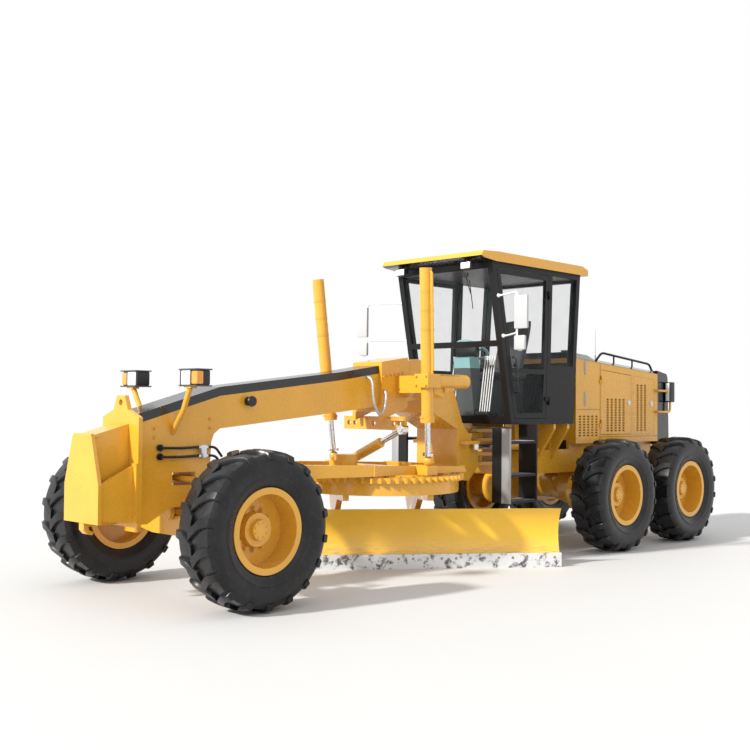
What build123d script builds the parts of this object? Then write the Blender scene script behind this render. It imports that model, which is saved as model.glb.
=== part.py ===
from build123d import *
import math
import os

# A six-wheel articulated motor grader. Millimetres. +X forward, +Y left, +Z up.
# The solids are laid out from the point on the ground under the tandem centre, and moved at the
# end so that the origin is on the ground under the middle of the machine's box. The angled blade
# reaches further out on the left, so the origin is a little left of the centre plane.

# Driving sizes of the whole machine
FRONT_X = 7236.0            # face of the push plate
REAR_X = -1490.0            # back of the radiator guard
WHEELBASE = 6260.0          # tandem centre to front axle
TANDEM_BASE = 1538.0        # between the two wheels of a tandem
TREAD = 2155.0              # between wheel planes, left to right
ORIGIN_X = (FRONT_X + REAR_X) / 2

# Gaps
SEAT_GAP = 0.3              # between pieces that rest on each other
PIN_GAP = 0.5               # between a pin or rod and its bore

# Wheels
TYRE_RADIUS = 664.0         # out to the tips of the lugs
TYRE_WIDTH = 445.0
TREAD_WIDTH = 400.0
BEAD_RADIUS = 317.0
FLANGE_RADIUS = 355.0
RIM_WIDTH = 356.0
FLANGE_THICKNESS = 12.0
RIM_WALL = 16.0
DISC_OFFSET = -30.0         # wheel disc, outboard of the wheel plane
DISC_THICKNESS = 24.0
HUB_RADIUS = 150.0
HUB_BACK = -72.0
HUB_FRONT = 42.0
CAP_RADIUS = 92.0
CAP_FRONT = 76.0
AXLE_Z = TYRE_RADIUS

# Tandem cases and rear axle
CASE_INNER = 545.0
CASE_OUTER = 745.0
CASE_RADIUS = 225.0
AXLE_TUBE_RADIUS = 165.0
DIFFERENTIAL_RADIUS = 228.0
STUB_RADIUS = 128.0

# Rear frame
RAIL_INNER = 330.0
RAIL_WIDTH = 120.0
RAIL_BOTTOM = 900.0
RAIL_HEIGHT = 280.0
ENGINE_BOTTOM = 970.0
TOWER_FRONT = 1790.0
TOWER_BACK = 1640.0
TOWER_TOP = 1455.0
BUMPER_FRONT = -1330.0

# Articulation hinge between the two frames
HINGE_X = 2100.0
EAR_LEVELS = (1085.0, 1360.0)
EAR_THICKNESS = 60.0
EAR_RADIUS = 105.0
CHEEK_THICKNESS = 40.0
CHEEK_GAP = 5.0
HINGE_PIN_RADIUS = 45.0

# Articulation cylinders: pin on the rear frame, pin on the front frame
BEND_REAR_PIN = (1560.0, 455.0, 1240.0)
BEND_FRONT_PIN = (2480.0, 345.0, 1240.0)
BEND_BARREL_LENGTH = 610.0
BEND_BARREL_RADIUS = 48.0
BEND_ROD_RADIUS = 25.0
BEND_STROKE = 190.0

# Front frame
BEAM_HALF = 170.0
NOSE_BACK = 5940.0
NOSE_FRONT = 6830.0
GOOSENECK_HALF = 300.0
LOW_Z = 662.0
WINDOW_X = (6207.0, 6450.0)
WINDOW_Z = (979.0, 1093.0)

# Push block
PUSH_HALF = 268.0
PUSH_BOTTOM = 700.0
PUSH_PLATE = 32.0
MOUNT_PLATE = 40.0

# Front axle
AXLE_BEAM_X = (6190.0, 6330.0)
AXLE_PIVOT_Z = 738.0
FRAME_EARS = ((6125.0, 6165.0), (6355.0, 6395.0))
LEAN_Y = 600.0              # lean pivot, left and right
LEAN_Z = 600.0
LEAN_BOSS = 48.0
LEAN_PIN = 26.0
KINGPIN_Y = 668.0
KINGPIN_RADIUS = 30.0
KINGPIN_BOSS = (540.0, 830.0)
LEAN_BAR_Z = 1036.0
LEAN_BAR_X = 6330.0
ARM_REACH = 262.0           # steering arm, behind the kingpin
TIE_BALL_RADIUS = 38.0

# Drawbar
BALL_X = 5900.0
BALL_Z = 850.0
BALL_RADIUS = 78.0
CIRCLE_X = 3696.0
RAIL_Y = 560.0              # drawbar side rails beside the circle
LIFT_BALL = (3690.0, 700.0, 1132.0)
LIFT_BALL_RADIUS = 52.0

DRIVE_X = 4180.0            # circle drive

# Circle and blade
TOOTH_COUNT = 64
TOOTH_TIP = 910.0
TOOTH_ROOT = 868.0
RING_INNER = 770.0
RING_TOP = 978.0
TOOTH_BOTTOM = 925.0
RING_BOTTOM = 800.0
BLADE_TURN = -37.3          # blade direction, from the machine's length
BLADE_LENGTH = 3660.0
BLADE_SHIFT = -97.0         # how far the blade stands to its left
BLADE_TOP = 618.0
EDGE_AHEAD = 316.0          # cutting edge, ahead of the circle's centre
SKIN = 22.0
EDGE_THICKNESS = 19.0
EDGE_HEIGHT = 152.0
ARM_SPACING = 430.0
ARM_BOSS = 44.0
PITCH_PIN = (120.0, 205.0)  # ahead of the circle's centre, height
RAIL_LEVELS = (160.0, 515.0)
BLADE_RAIL = 46.0
RAIL_BACK = PITCH_PIN[0] + 50      # back of the blade's slide rails, ahead of the circle's centre
BLADE_REACH = ((BLADE_SHIFT - BLADE_LENGTH / 2) * math.sin(math.radians(BLADE_TURN))
               + EDGE_AHEAD * math.cos(math.radians(BLADE_TURN)))
ORIGIN_Y = (BLADE_REACH - TREAD / 2 - TYRE_WIDTH / 2) / 2

# Lift cylinders
LIFT_X = 3762.0
LIFT_Y = 742.0
LIFT_PIVOT_Z = 1950.0
LIFT_BARREL_TOP = 3095.0
LIFT_BARREL_BOTTOM = 1525.0
LIFT_BARREL_RADIUS = 63.0
LIFT_ROD_RADIUS = 30.0
LIFT_TRAVEL = (290.0, 505.0)
LIFT_CUP = 26.0             # thickness of the rod's foot
FOOT_GAP = 3.0              # between the rod's foot and its ball

# Drawbar shift cylinder: pin on the drawbar, pin under the saddle
SHIFT_X = 3946.0
SHIFT_LOW = (-420.0, 1005.0)
SHIFT_HIGH = (580.0, 1450.0)
SHIFT_BARREL_LENGTH = 760.0
SHIFT_BARREL_RADIUS = 52.0
SHIFT_ROD_RADIUS = 27.0
SHIFT_TRAVEL = 290.0
SHIFT_BUSH = 33.0           # radius of the bush round the lower pin
SHIFT_PIN = 24.0
SHIFT_EYE = 46.0

# Saddle that carries the lift cylinders
SADDLE_X = (3480.0, 3880.0)
SADDLE_WALL = 45.0
LOCK_X = (3740.0, 3776.0)   # plate with the locking holes
LOCK_HALF = 450.0           # its half width, inside the swing of the lift cylinders
LUG_CLEAR = 45.0            # between the shift cylinder's eye and the lug over it
TUBE_RADIUS = 74.0
TUBE_BACK = 3160.0

# Cab: pillar lines run from the floor to the eaves
CAB_FLOOR = 1498.0
CAB_EAVES = 3290.0
CAB_HALF = 710.0
CAB_WALL = 60.0
A_PILLAR = (2303.0, 2670.0)     # x at the floor, x at the eaves
B_PILLAR = (1632.0, 1569.0)
C_PILLAR = (1087.0, 948.0)
BELT_Z = 2400.0
GLASS = 8.0
GLASS_GAP = 0.5
DOOR_GAP = 6.0
DOOR_THICKNESS = 42.0
ROOF_TOP = 3400.0
ROOF_FRONT = 2900.0
ROOF_BACK = 830.0
ROOF_HALF = 745.0

# Door hinges
HINGE_BARREL = 13.0
HINGE_HEIGHT = 46.0
CAB_HINGE_X = 1598.0
CAB_HINGE_LEVELS = (1720.0, 2950.0)
HOOD_HINGE_LEVELS = (1450.0, 2000.0)

# Hood
HOOD_HALF = 550.0
HOOD_FRONT = 790.0
HOOD_BACK = -1177.0
HOOD_BOTTOM = 1290.0
HOOD_TOP = (2303.0, 2160.0)     # at the front, at the back
HOOD_WALL = 30.0
HOOD_DOOR = (232.0, -500.0)         # front edge, rear edge
HOOD_PANEL = (-545.0, -1090.0)      # fixed panel behind the door
HOOD_DOOR_BOTTOM = 1350.0
HOOD_DOOR_BELOW_TOP = 85.0
HOOD_DOOR_THICKNESS = 26.0


def block(x0, x1, y0, y1, z0, z1):
    """A box between two corners."""
    return Pos((x0 + x1) / 2, (y0 + y1) / 2, (z0 + z1) / 2) * Solid.make_box(
        abs(x1 - x0), abs(y1 - y0), abs(z1 - z0), Plane((-abs(x1 - x0) / 2, -abs(y1 - y0) / 2, -abs(z1 - z0) / 2)))


def side_plate(points, y0, y1):
    """An outline of (x, z) points, from y0 to y1."""
    face = Face(Wire.make_polygon([(x, y0, z) for x, z in points], close=True))
    return Solid.extrude(face, Vector(0, y1 - y0, 0))


def level_plate(points, z0, z1):
    """An outline of (x, y) points, from z0 to z1."""
    face = Face(Wire.make_polygon([(x, y, z0) for x, y in points], close=True))
    return Solid.extrude(face, Vector(0, 0, z1 - z0))


def cross_plate(points, x0, x1):
    """An outline of (y, z) points, from x0 to x1."""
    face = Face(Wire.make_polygon([(x0, y, z) for y, z in points], close=True))
    return Solid.extrude(face, Vector(x1 - x0, 0, 0))


def bar(start, end, radius):
    """A round bar between two points."""
    a, b = Vector(*start), Vector(*end)
    return Solid.make_cylinder(radius, (b - a).length, Plane(a, z_dir=(b - a)))


def ball(centre, radius):
    return Solid.make_sphere(radius, Plane(Vector(*centre)))


def slot_plate(x0, x1, z, radius, y0, y1):
    """A flat bar with round ends, centred on z, with its end centres at x0 and x1."""
    low, high = z - radius, z + radius
    wire = Wire([
        Edge.make_line((x0, y0, low), (x1, y0, low)),
        Edge.make_three_point_arc((x1, y0, low), (x1 + radius, y0, z), (x1, y0, high)),
        Edge.make_line((x1, y0, high), (x0, y0, high)),
        Edge.make_three_point_arc((x0, y0, high), (x0 - radius, y0, z), (x0, y0, low)),
    ])
    return Solid.extrude(Face(wire), Vector(0, y1 - y0, 0))


def turned(points, centre, outward):
    """A ring turned about the Y axis through centre, from (radius, offset) points; outward is +1 or -1."""
    face = Face(Wire.make_polygon([(r, offset * outward, 0) for r, offset in points], close=True))
    return Pos(*centre) * Solid.revolve(face, 360, Axis((0, 0, 0), (0, 1, 0)))


def joined(first, *rest):
    """One solid from several that touch or overlap."""
    shape = first
    for other in rest:
        shape = shape + other
    return shape


def mirrored(shape):
    """The same shape on the right-hand side."""
    return mirror(shape, about=Plane.XZ)


def both(shape):
    return [shape, mirrored(shape)]


def hinge_knuckles(x, y, levels, reach, sign):
    """Hinge knuckles on a wall's outer face, each with a leaf that reaches along X."""
    centre = y + HINGE_BARREL + SEAT_GAP
    knuckles = []
    for z in levels:
        xa, xb = sorted((x, x + reach))
        ya, yb = sorted((sign * (y + SEAT_GAP), sign * centre))
        foot_end = x + reach
        foot_start = foot_end - math.copysign(18, reach)
        knuckles.append(joined(bar((x, sign * centre, z), (x, sign * centre, z + HINGE_HEIGHT), HINGE_BARREL),
                               block(xa, xb, ya, yb, z, z + HINGE_HEIGHT),
                               block(min(foot_start, foot_end), max(foot_start, foot_end),
                                     min(sign * (y - 3), sign * centre), max(sign * (y - 3), sign * centre),
                                     z, z + HINGE_HEIGHT)))
    return knuckles


def above(levels):
    """The levels of the door's knuckles, each on top of a fixed one."""
    return [z + HINGE_HEIGHT + SEAT_GAP for z in levels]


def between(line, z):
    """The x of a pillar line at height z."""
    return line[0] + (line[1] - line[0]) * (z - CAB_FLOOR) / (CAB_EAVES - CAB_FLOOR)


def hood_top(x):
    """The height of the hood's top edge at x."""
    return HOOD_TOP[1] + (HOOD_TOP[0] - HOOD_TOP[1]) * (x - HOOD_BACK) / (HOOD_FRONT - HOOD_BACK)


def on_line(start, end, distance):
    """The point at a distance from start towards end."""
    a, b = Vector(*start), Vector(*end)
    return tuple(a + (b - a).normalized() * distance)


nodes = {}


def node(name, *shapes):
    """Keep the solids of one named piece."""
    solids = []
    for shape in shapes:
        solids.extend(shape if isinstance(shape, (list, tuple)) else [shape])
    nodes[name] = Compound(children=[s for shape in solids for s in shape.solids()])


# Wheels

def tyre(centre, outward):
    half, tread = TYRE_WIDTH / 2, TREAD_WIDTH / 2
    bead = RIM_WIDTH / 2 - FLANGE_THICKNESS - SEAT_GAP
    inner = BEAD_RADIUS + SEAT_GAP
    right = [(inner, bead), (FLANGE_RADIUS + 3, bead), (FLANGE_RADIUS + 22, bead + 14), (470, half), (560, half - 4), (TYRE_RADIUS - 24, tread),
             (TYRE_RADIUS - 3, tread - 42), (TYRE_RADIUS, tread - 120)]
    left = [(r, -offset) for r, offset in reversed(right)]
    return turned(right + left, centre, outward)


def rim(centre, outward):
    half = RIM_WIDTH / 2
    barrel = turned([(BEAD_RADIUS, -half + FLANGE_THICKNESS), (FLANGE_RADIUS, -half + FLANGE_THICKNESS),
                     (FLANGE_RADIUS, -half), (BEAD_RADIUS - RIM_WALL, -half), (BEAD_RADIUS - RIM_WALL, half),
                     (FLANGE_RADIUS, half), (FLANGE_RADIUS, half - FLANGE_THICKNESS),
                     (BEAD_RADIUS, half - FLANGE_THICKNESS)], centre, outward)
    back, face = DISC_OFFSET - DISC_THICKNESS, DISC_OFFSET
    disc = turned([(0, HUB_BACK), (HUB_RADIUS, HUB_BACK), (HUB_RADIUS, back), (BEAD_RADIUS - RIM_WALL + 4, back),
                   (BEAD_RADIUS - RIM_WALL + 4, face), (HUB_RADIUS, face), (HUB_RADIUS - 12, HUB_FRONT),
                   (CAP_RADIUS, HUB_FRONT), (CAP_RADIUS - 14, CAP_FRONT), (0, CAP_FRONT)], centre, outward)
    return joined(barrel, disc)


WHEELS = (
    # name, x, side
    ("front_left", WHEELBASE, 1), ("front_right", WHEELBASE, -1),
    ("middle_left", TANDEM_BASE / 2, 1), ("middle_right", TANDEM_BASE / 2, -1),
    ("rear_left", -TANDEM_BASE / 2, 1), ("rear_right", -TANDEM_BASE / 2, -1),
)


def make_wheels():
    for name, x, side in WHEELS:
        centre = (x, side * TREAD / 2, AXLE_Z)
        node("tyre_" + name, tyre(centre, side))
        node("rim_" + name, rim(centre, side))


# Rear frame

def make_tandems():
    ends = TANDEM_BASE / 2
    hub_face = TREAD / 2 + HUB_BACK - SEAT_GAP
    shapes = [slot_plate(-ends, ends, AXLE_Z, CASE_RADIUS, CASE_INNER, CASE_OUTER)]
    for x in (-ends, ends):
        shapes.append(bar((x, CASE_OUTER - 5, AXLE_Z), (x, hub_face, AXLE_Z), STUB_RADIUS))
    left = joined(*shapes)
    housing = bar((0, -CASE_INNER - 5, AXLE_Z), (0, CASE_INNER + 5, AXLE_Z), AXLE_TUBE_RADIUS)
    middle = turned([(0, -260), (190, -230), (DIFFERENTIAL_RADIUS, -110), (DIFFERENTIAL_RADIUS, 110), (190, 230), (0, 260)],
                    (0, 0, AXLE_Z), 1)
    node("tandem_cases", joined(left, mirrored(left), housing, middle))


def make_rear_chassis():
    outer = RAIL_INNER + RAIL_WIDTH
    top = RAIL_BOTTOM + RAIL_HEIGHT
    shapes = both(block(BUMPER_FRONT - 10, TOWER_FRONT - 30, RAIL_INNER, outer, RAIL_BOTTOM, top))
    shapes.append(block(REAR_X, BUMPER_FRONT, -520, 520, RAIL_BOTTOM - 20, top))
    for x in (-900.0, 180.0):
        shapes.append(block(x - 60, x + 60, -RAIL_INNER - 5, RAIL_INNER + 5, RAIL_BOTTOM, ENGINE_BOTTOM - SEAT_GAP))
    shapes.append(block(TOWER_BACK, TOWER_FRONT, -outer, outer, RAIL_BOTTOM - 10, top))
    shapes.append(block(TOWER_BACK, TOWER_FRONT, -300, 300, top - 10, TOWER_TOP))
    for level in EAR_LEVELS:
        half = EAR_THICKNESS / 2 + CHEEK_GAP
        for z0 in (level + half, level - half - CHEEK_THICKNESS):
            shapes.append(level_plate([(TOWER_FRONT - 5, -220), (HINGE_X, -EAR_RADIUS), (HINGE_X, EAR_RADIUS),
                                       (TOWER_FRONT - 5, 220)], z0, z0 + CHEEK_THICKNESS))
            shapes.append(bar((HINGE_X, 0, z0), (HINGE_X, 0, z0 + CHEEK_THICKNESS), EAR_RADIUS))
        reach = half + CHEEK_THICKNESS + 14
        shapes.append(bar((HINGE_X, 0, level - reach), (HINGE_X, 0, level + reach), HINGE_PIN_RADIUS))
    # Outriggers under the cab, and the saddles on the axle housing
    for x in (1440.0, 1160.0):
        shapes += both(cross_plate([(outer - 5, top - 120), (RAIL_INNER, top + 60), (RAIL_INNER, CAB_FLOOR - SEAT_GAP),
                                    (CAB_HALF - 20, CAB_FLOOR - SEAT_GAP), (CAB_HALF - 20, CAB_FLOOR - 60)],
                                   x - 22, x + 22))
    shapes += both(block(1138, TOWER_FRONT - 40, RAIL_INNER - 30, RAIL_INNER + 10, top - 10, CAB_FLOOR - SEAT_GAP))
    shapes += both(block(1138, 1198, RAIL_INNER - 30, outer, top - 10, CAB_FLOOR - SEAT_GAP))
    shapes += both(block(-130, 130, RAIL_INNER + 20, outer - 20, AXLE_Z + AXLE_TUBE_RADIUS + SEAT_GAP,
                         RAIL_BOTTOM + 5))
    # Lugs of the articulation cylinders
    px, py, pz = BEND_REAR_PIN
    lug = joined(block(px - 90, px, py - 34, py + 34, top - 10, pz - 30 - PIN_GAP),
                 bar((px, py, top - 10), (px, py, pz - 30 - PIN_GAP), 34),
                 bar((px, py, top), (px, py, pz + 34), 20))
    shapes += both(lug)
    # Floor of the engine bay, which the hood stands on
    shapes += both(side_plate([(HOOD_FRONT, top - 8), (HOOD_FRONT, HOOD_BOTTOM - SEAT_GAP),
                               (HOOD_BACK, HOOD_BOTTOM - SEAT_GAP), (HOOD_BACK, top - 8)], outer - 40, outer))
    shapes += both(block(HOOD_BACK, HOOD_FRONT, outer - 5, HOOD_HALF, HOOD_BOTTOM - 40, HOOD_BOTTOM - SEAT_GAP))
    node("rear_chassis", joined(*shapes))


def make_hood():
    outline = [(HOOD_FRONT, HOOD_BOTTOM), (HOOD_FRONT, HOOD_TOP[0]), (HOOD_BACK, HOOD_TOP[1]), (HOOD_BACK, HOOD_BOTTOM)]
    inside = [(HOOD_FRONT - HOOD_WALL, HOOD_BOTTOM - 50), (HOOD_FRONT - HOOD_WALL, hood_top(HOOD_FRONT) - HOOD_WALL),
              (HOOD_BACK + HOOD_WALL, hood_top(HOOD_BACK) - HOOD_WALL), (HOOD_BACK + HOOD_WALL, HOOD_BOTTOM - 50)]
    shell = side_plate(outline, -HOOD_HALF, HOOD_HALF)
    shell -= side_plate(inside, -HOOD_HALF + HOOD_WALL, HOOD_HALF - HOOD_WALL)
    shell -= side_plate(door_outline(*HOOD_DOOR, 0), -HOOD_HALF - 10, HOOD_HALF + 10)
    seam = (side_plate(door_outline(*HOOD_PANEL, 0), -HOOD_HALF - 10, HOOD_HALF + 10)
            - side_plate(door_outline(*HOOD_PANEL, DOOR_GAP), -HOOD_HALF - 20, HOOD_HALF + 20)
            - block(-2000, 2000, -HOOD_HALF + 5, HOOD_HALF - 5, 1000, 3000))
    shell -= seam
    shell -= grille_slots(*PANEL_GRILLE, -HOOD_HALF - 10, HOOD_HALF + 10)
    shell -= grille_slots(*FRONT_GRILLE, -HOOD_HALF - 10, HOOD_HALF + 10)
    for sign in (1, -1):
        shell = joined(shell, *hinge_knuckles(HOOD_DOOR[0], HOOD_HALF, HOOD_HINGE_LEVELS, 40, sign))
    node("hood_shell", shell)
    for side, sign in (("left", 1), ("right", -1)):
        node("hood_door_" + side, hood_door(sign))


def door_outline(front, back, gap):
    """The outline of a hood door, smaller all round by the gap."""
    return [(front - gap, HOOD_DOOR_BOTTOM + gap), (front - gap, hood_top(front) - HOOD_DOOR_BELOW_TOP - gap),
            (back + gap, hood_top(back) - HOOD_DOOR_BELOW_TOP - gap), (back + gap, HOOD_DOOR_BOTTOM + gap)]


# Grilles: x of the first column, step, columns, bottom, top
DOOR_GRILLE = (70.0, -95.0, 5, 1385.0, 1815.0)
PANEL_GRILLE = (-660.0, -95.0, 3, 1385.0, 2010.0)
FRONT_GRILLE = (700.0, -92.0, 5, 1330.0, 1600.0)


def grille_slots(first, step, columns, low, high, y0, y1):
    """A row of upright slots."""
    width = abs(step) * 0.55
    return Compound(children=[block(first + step * i - width / 2, first + step * i + width / 2, y0, y1, low, high)
                              for i in range(columns)])


def hood_door(sign):
    outer = HOOD_HALF
    door = side_plate(door_outline(*HOOD_DOOR, DOOR_GAP), sign * (outer - HOOD_DOOR_THICKNESS), sign * outer)
    y0, y1 = sorted((sign * (outer - 60), sign * (outer + 10)))
    knuckles = hinge_knuckles(HOOD_DOOR[0], HOOD_HALF, above(HOOD_HINGE_LEVELS), -50, sign)
    return joined(door - grille_slots(*DOOR_GRILLE, y0, y1), *knuckles)


def make_hood_cover():
    front, back = HOOD_FRONT, HOOD_BACK
    half, top_half = HOOD_HALF + 8, HOOD_HALF - 90

    def section(x, low, high):
        return Face(Wire.make_polygon([(x, -half, low), (x, half, low), (x, top_half, high), (x, -top_half, high)],
                                      close=True))
    low_front, low_mid = hood_top(front) + SEAT_GAP, hood_top(250) + SEAT_GAP
    cover = joined(
        Solid.make_loft([section(front, low_front, low_front + 78).outer_wire(),
                         section(400, hood_top(400) + SEAT_GAP, hood_top(400) + 78).outer_wire()], True),
        Solid.make_loft([section(400, hood_top(400) + SEAT_GAP, hood_top(400) + 78).outer_wire(),
                         section(250, low_mid, low_mid + 46).outer_wire()], True),
        Solid.make_loft([section(250, low_mid, low_mid + 46).outer_wire(),
                         section(back, hood_top(back) + SEAT_GAP, hood_top(back) + 46).outer_wire()], True))
    guard_top = hood_top(back) + 46
    guard = side_plate([(back - SEAT_GAP, HOOD_BOTTOM - 90), (back - SEAT_GAP, guard_top), (REAR_X + 70, guard_top - 40),
                        (REAR_X + 40, guard_top - 90), (REAR_X + 5, HOOD_BOTTOM - 90)], -HOOD_HALF, HOOD_HALF)
    exhaust = bar((-30, -180, hood_top(0) + 15), (-30, -180, hood_top(0) + 210), 48)
    node("hood_cover", joined(cover, guard, block(back - 3, back + 3, -top_half, top_half, guard_top - 40, guard_top),
                              exhaust))


def make_engine():
    node("engine_block", block(-1000, 260, -300, 300, ENGINE_BOTTOM, ENGINE_BOTTOM + 940))


# Cab

def cab_outline(inset):
    """Side outline of the cab, smaller all round by the inset."""
    low, high = CAB_FLOOR + inset, CAB_EAVES - inset
    return [(between(A_PILLAR, low) - inset, low), (between(A_PILLAR, high) - inset, high),
            (between(C_PILLAR, high) + inset, high), (between(C_PILLAR, low) + inset, low)]


def pane(front_line, back_line, low, high, front_inset, back_inset):
    """Outline between two pillar lines."""
    return [(between(front_line, low) - front_inset, low), (between(front_line, high) - front_inset, high),
            (between(back_line, high) + back_inset, high), (between(back_line, low) + back_inset, low)]


DOOR_LOW = CAB_FLOOR + 62
DOOR_HIGH = CAB_EAVES - 62


def door_opening(gap):
    return [(x, z) for x, z in pane(A_PILLAR, B_PILLAR, DOOR_LOW + gap, DOOR_HIGH - gap, 66 + gap, 20 + gap)]


QUARTER = pane(B_PILLAR, C_PILLAR, 2180, DOOR_HIGH, 50, 70)


def make_cab():
    shell = side_plate(cab_outline(0), -CAB_HALF, CAB_HALF)
    shell -= side_plate(cab_outline(CAB_WALL), -CAB_HALF + CAB_WALL, CAB_HALF - CAB_WALL)
    shell -= side_plate(door_opening(0), -CAB_HALF - 10, CAB_HALF + 10)
    shell -= side_plate(QUARTER, -CAB_HALF - 10, CAB_HALF + 10)
    side = CAB_HALF - 72
    for low, high in ((CAB_FLOOR + 90, BELT_Z - 32), (BELT_Z + 32, CAB_EAVES - 70)):
        shell -= block(2150, 2800, -side, side, low, high)
    shell -= block(900, 1200, -side + 20, side - 20, 2230, CAB_EAVES - 90)
    for sign in (1, -1):
        shell = joined(shell, *hinge_knuckles(CAB_HINGE_X, CAB_HALF, CAB_HINGE_LEVELS, -36, sign))
    node("cab_shell", shell)

    glass = []
    for low, high in ((CAB_FLOOR + 90, BELT_Z - 32), (BELT_Z + 32, CAB_EAVES - 70)):
        z0, z1 = low + GLASS_GAP, high - GLASS_GAP
        glass.append(side_plate([(between(A_PILLAR, z0) - 30, z0), (between(A_PILLAR, z1) - 30, z1),
                                 (between(A_PILLAR, z1) - 30 + GLASS, z1), (between(A_PILLAR, z0) - 30 + GLASS, z0)],
                                -side + GLASS_GAP, side - GLASS_GAP))
    z0, z1 = 2230 + GLASS_GAP, CAB_EAVES - 90 - GLASS_GAP
    glass.append(side_plate([(between(C_PILLAR, z0) + 30, z0), (between(C_PILLAR, z1) + 30, z1),
                             (between(C_PILLAR, z1) + 30 - GLASS, z1), (between(C_PILLAR, z0) + 30 - GLASS, z0)],
                            -side + 20 + GLASS_GAP, side - 20 - GLASS_GAP))
    quarter = pane(B_PILLAR, C_PILLAR, 2180 + GLASS_GAP, DOOR_HIGH - GLASS_GAP, 50 + GLASS_GAP, 70 + GLASS_GAP)
    glass += both(side_plate(quarter, CAB_HALF - 34, CAB_HALF - 34 + GLASS))
    node("cab_glass", glass)

    for name, sign in (("left", 1), ("right", -1)):
        outer, inner = sign * CAB_HALF, sign * (CAB_HALF - DOOR_THICKNESS)
        frame = side_plate(door_opening(DOOR_GAP), inner, outer)
        upper = pane(A_PILLAR, B_PILLAR, 2130, DOOR_HIGH - 62, 66 + 62, 20 + 62)
        lower = pane(A_PILLAR, B_PILLAR, DOOR_LOW + 66, 2070, 66 + 62, 20 + 62)
        for window in (upper, lower):
            frame -= side_plate(window, sign * (CAB_HALF - 80), sign * (CAB_HALF + 10))
        for z in above(CAB_HINGE_LEVELS):
            edge = between(B_PILLAR, z) + 20 + DOOR_GAP
            frame = joined(frame, *hinge_knuckles(CAB_HINGE_X, CAB_HALF, (z,), edge + 22 - CAB_HINGE_X, sign))
        node("cab_door_" + name, frame)
        panes = []
        for low, high in ((2130 + GLASS_GAP, DOOR_HIGH - 62 - GLASS_GAP), (DOOR_LOW + 66 + GLASS_GAP, 2070 - GLASS_GAP)):
            outline = pane(A_PILLAR, B_PILLAR, low, high, 66 + 62 + GLASS_GAP, 20 + 62 + GLASS_GAP)
            panes.append(side_plate(outline, sign * (CAB_HALF - 26), sign * (CAB_HALF - 26 + GLASS)))
        node("door_glass_" + name, panes)

    roof = side_plate([(ROOF_FRONT, CAB_EAVES + 40), (ROOF_FRONT - 40, ROOF_TOP - 15), (ROOF_FRONT - 300, ROOF_TOP),
                       (ROOF_BACK + 120, ROOF_TOP), (ROOF_BACK, ROOF_TOP - 40), (ROOF_BACK, CAB_EAVES + SEAT_GAP),
                       (2640, CAB_EAVES + SEAT_GAP), (ROOF_FRONT - 60, CAB_EAVES + 20)], -ROOF_HALF, ROOF_HALF)
    node("cab_roof", roof)

    seat = joined(block(1330, 1800, -240, 240, 2010, 2130),
                  side_plate([(1330, 2100), (1450, 2100), (1340, 2780), (1240, 2780)], -220, 220))
    node("operator_seat", seat)
    inside = CAB_FLOOR + CAB_WALL + SEAT_GAP
    console = joined(block(1380, 1740, -180, 180, inside, 2010 - SEAT_GAP),
                     block(1700, 2230, -60, 60, inside, inside + 60),
                     side_plate([(2080, inside), (2235, inside), (2330, 2260), (2150, 2300)], -120, 120))
    wheel = Pos(2130, 0, 2360) * Rot(0, -30, 0) * Solid.make_torus(190, 18)
    column = bar((2215, 0, 2230), (2130, 0, 2360), 25)
    spoke = bar((2130, -188, 2360), (2130, 188, 2360), 12)
    node("control_console", joined(console, column, spoke, wheel))


def make_ladders():
    front, back = 2560.0, 2046.0
    inner, outer = 640.0, 880.0
    low = 637.0
    side = [block(front - 28, front, inner, outer, low, 1457),
            block(back, back + 28, inner, outer, low, CAB_FLOOR - SEAT_GAP)]
    side += [block(back, front, inner, outer, z, z + 26) for z in (low, 925.0, 1290.0)]
    node("ladders", both(joined(*side)))


def make_cab_fittings():
    shapes = []
    x = 2760.0
    arm_low, arm_high = 2480.0, 2920.0
    foot_low, foot_high = between(A_PILLAR, arm_low), between(A_PILLAR, arm_high)
    mirror_y = 1120.0
    seat = CAB_HALF + SEAT_GAP
    arm = joined(*[bar((foot - 33, seat, z), (foot - 33, seat + 40, z), 14) for foot, z in ((foot_low, arm_low), (foot_high, arm_high))],
                 bar((foot_low - 33, seat + 30, arm_low), (x, mirror_y, arm_low), 12),
                 bar((foot_high - 33, seat + 30, arm_high), (x, mirror_y, arm_high), 12),
                 bar((x, mirror_y, 2300), (x, mirror_y, arm_high + 20), 15),
                 block(x - 45, x + 5, mirror_y - 20, mirror_y + 150, 2500, 2890),
                 block(x - 45, x + 5, mirror_y - 20, mirror_y + 120, 2290, 2460))
    shapes += both(arm)
    lamp = joined(block(ROOF_FRONT - 130, ROOF_FRONT - 30, 420, 560, CAB_EAVES - 92, CAB_EAVES - 5),
                  block(ROOF_FRONT - 95, ROOF_FRONT - 65, 470, 510, CAB_EAVES - 10, CAB_EAVES + 16.25))
    node("cab_fittings", shapes, both(lamp))


# Front frame

BEAM = [
    # x, z round the side of the box beam, from the top of its front end
    (NOSE_BACK, 1850), (4442, 2026), (3263, 2204), (3080, 2140), (2860, 1890),
    (3185, 1775), (4075, 1664), (4436, 1625), (NOSE_BACK, 1472),
]
GOOSENECK = [
    # x, z round the wide rear part
    (3225, 1810), (3130, 1885), (2821, 1885), (2662, 1500), (2386, 1190), (2386, 1010), (2543, 858), (2755, 880),
    (2755, 1440), (3150, 1620),
]


def along(points, x):
    """The height of a run of (x, z) points at x."""
    for (x0, z0), (x1, z1) in zip(points, points[1:]):
        if min(x0, x1) <= x <= max(x0, x1):
            return z0 + (z1 - z0) * (x - x0) / (x1 - x0)
    return points[-1][1]


BEAM_TOP = BEAM[:3]
BEAM_UNDER = BEAM[5:]


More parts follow.
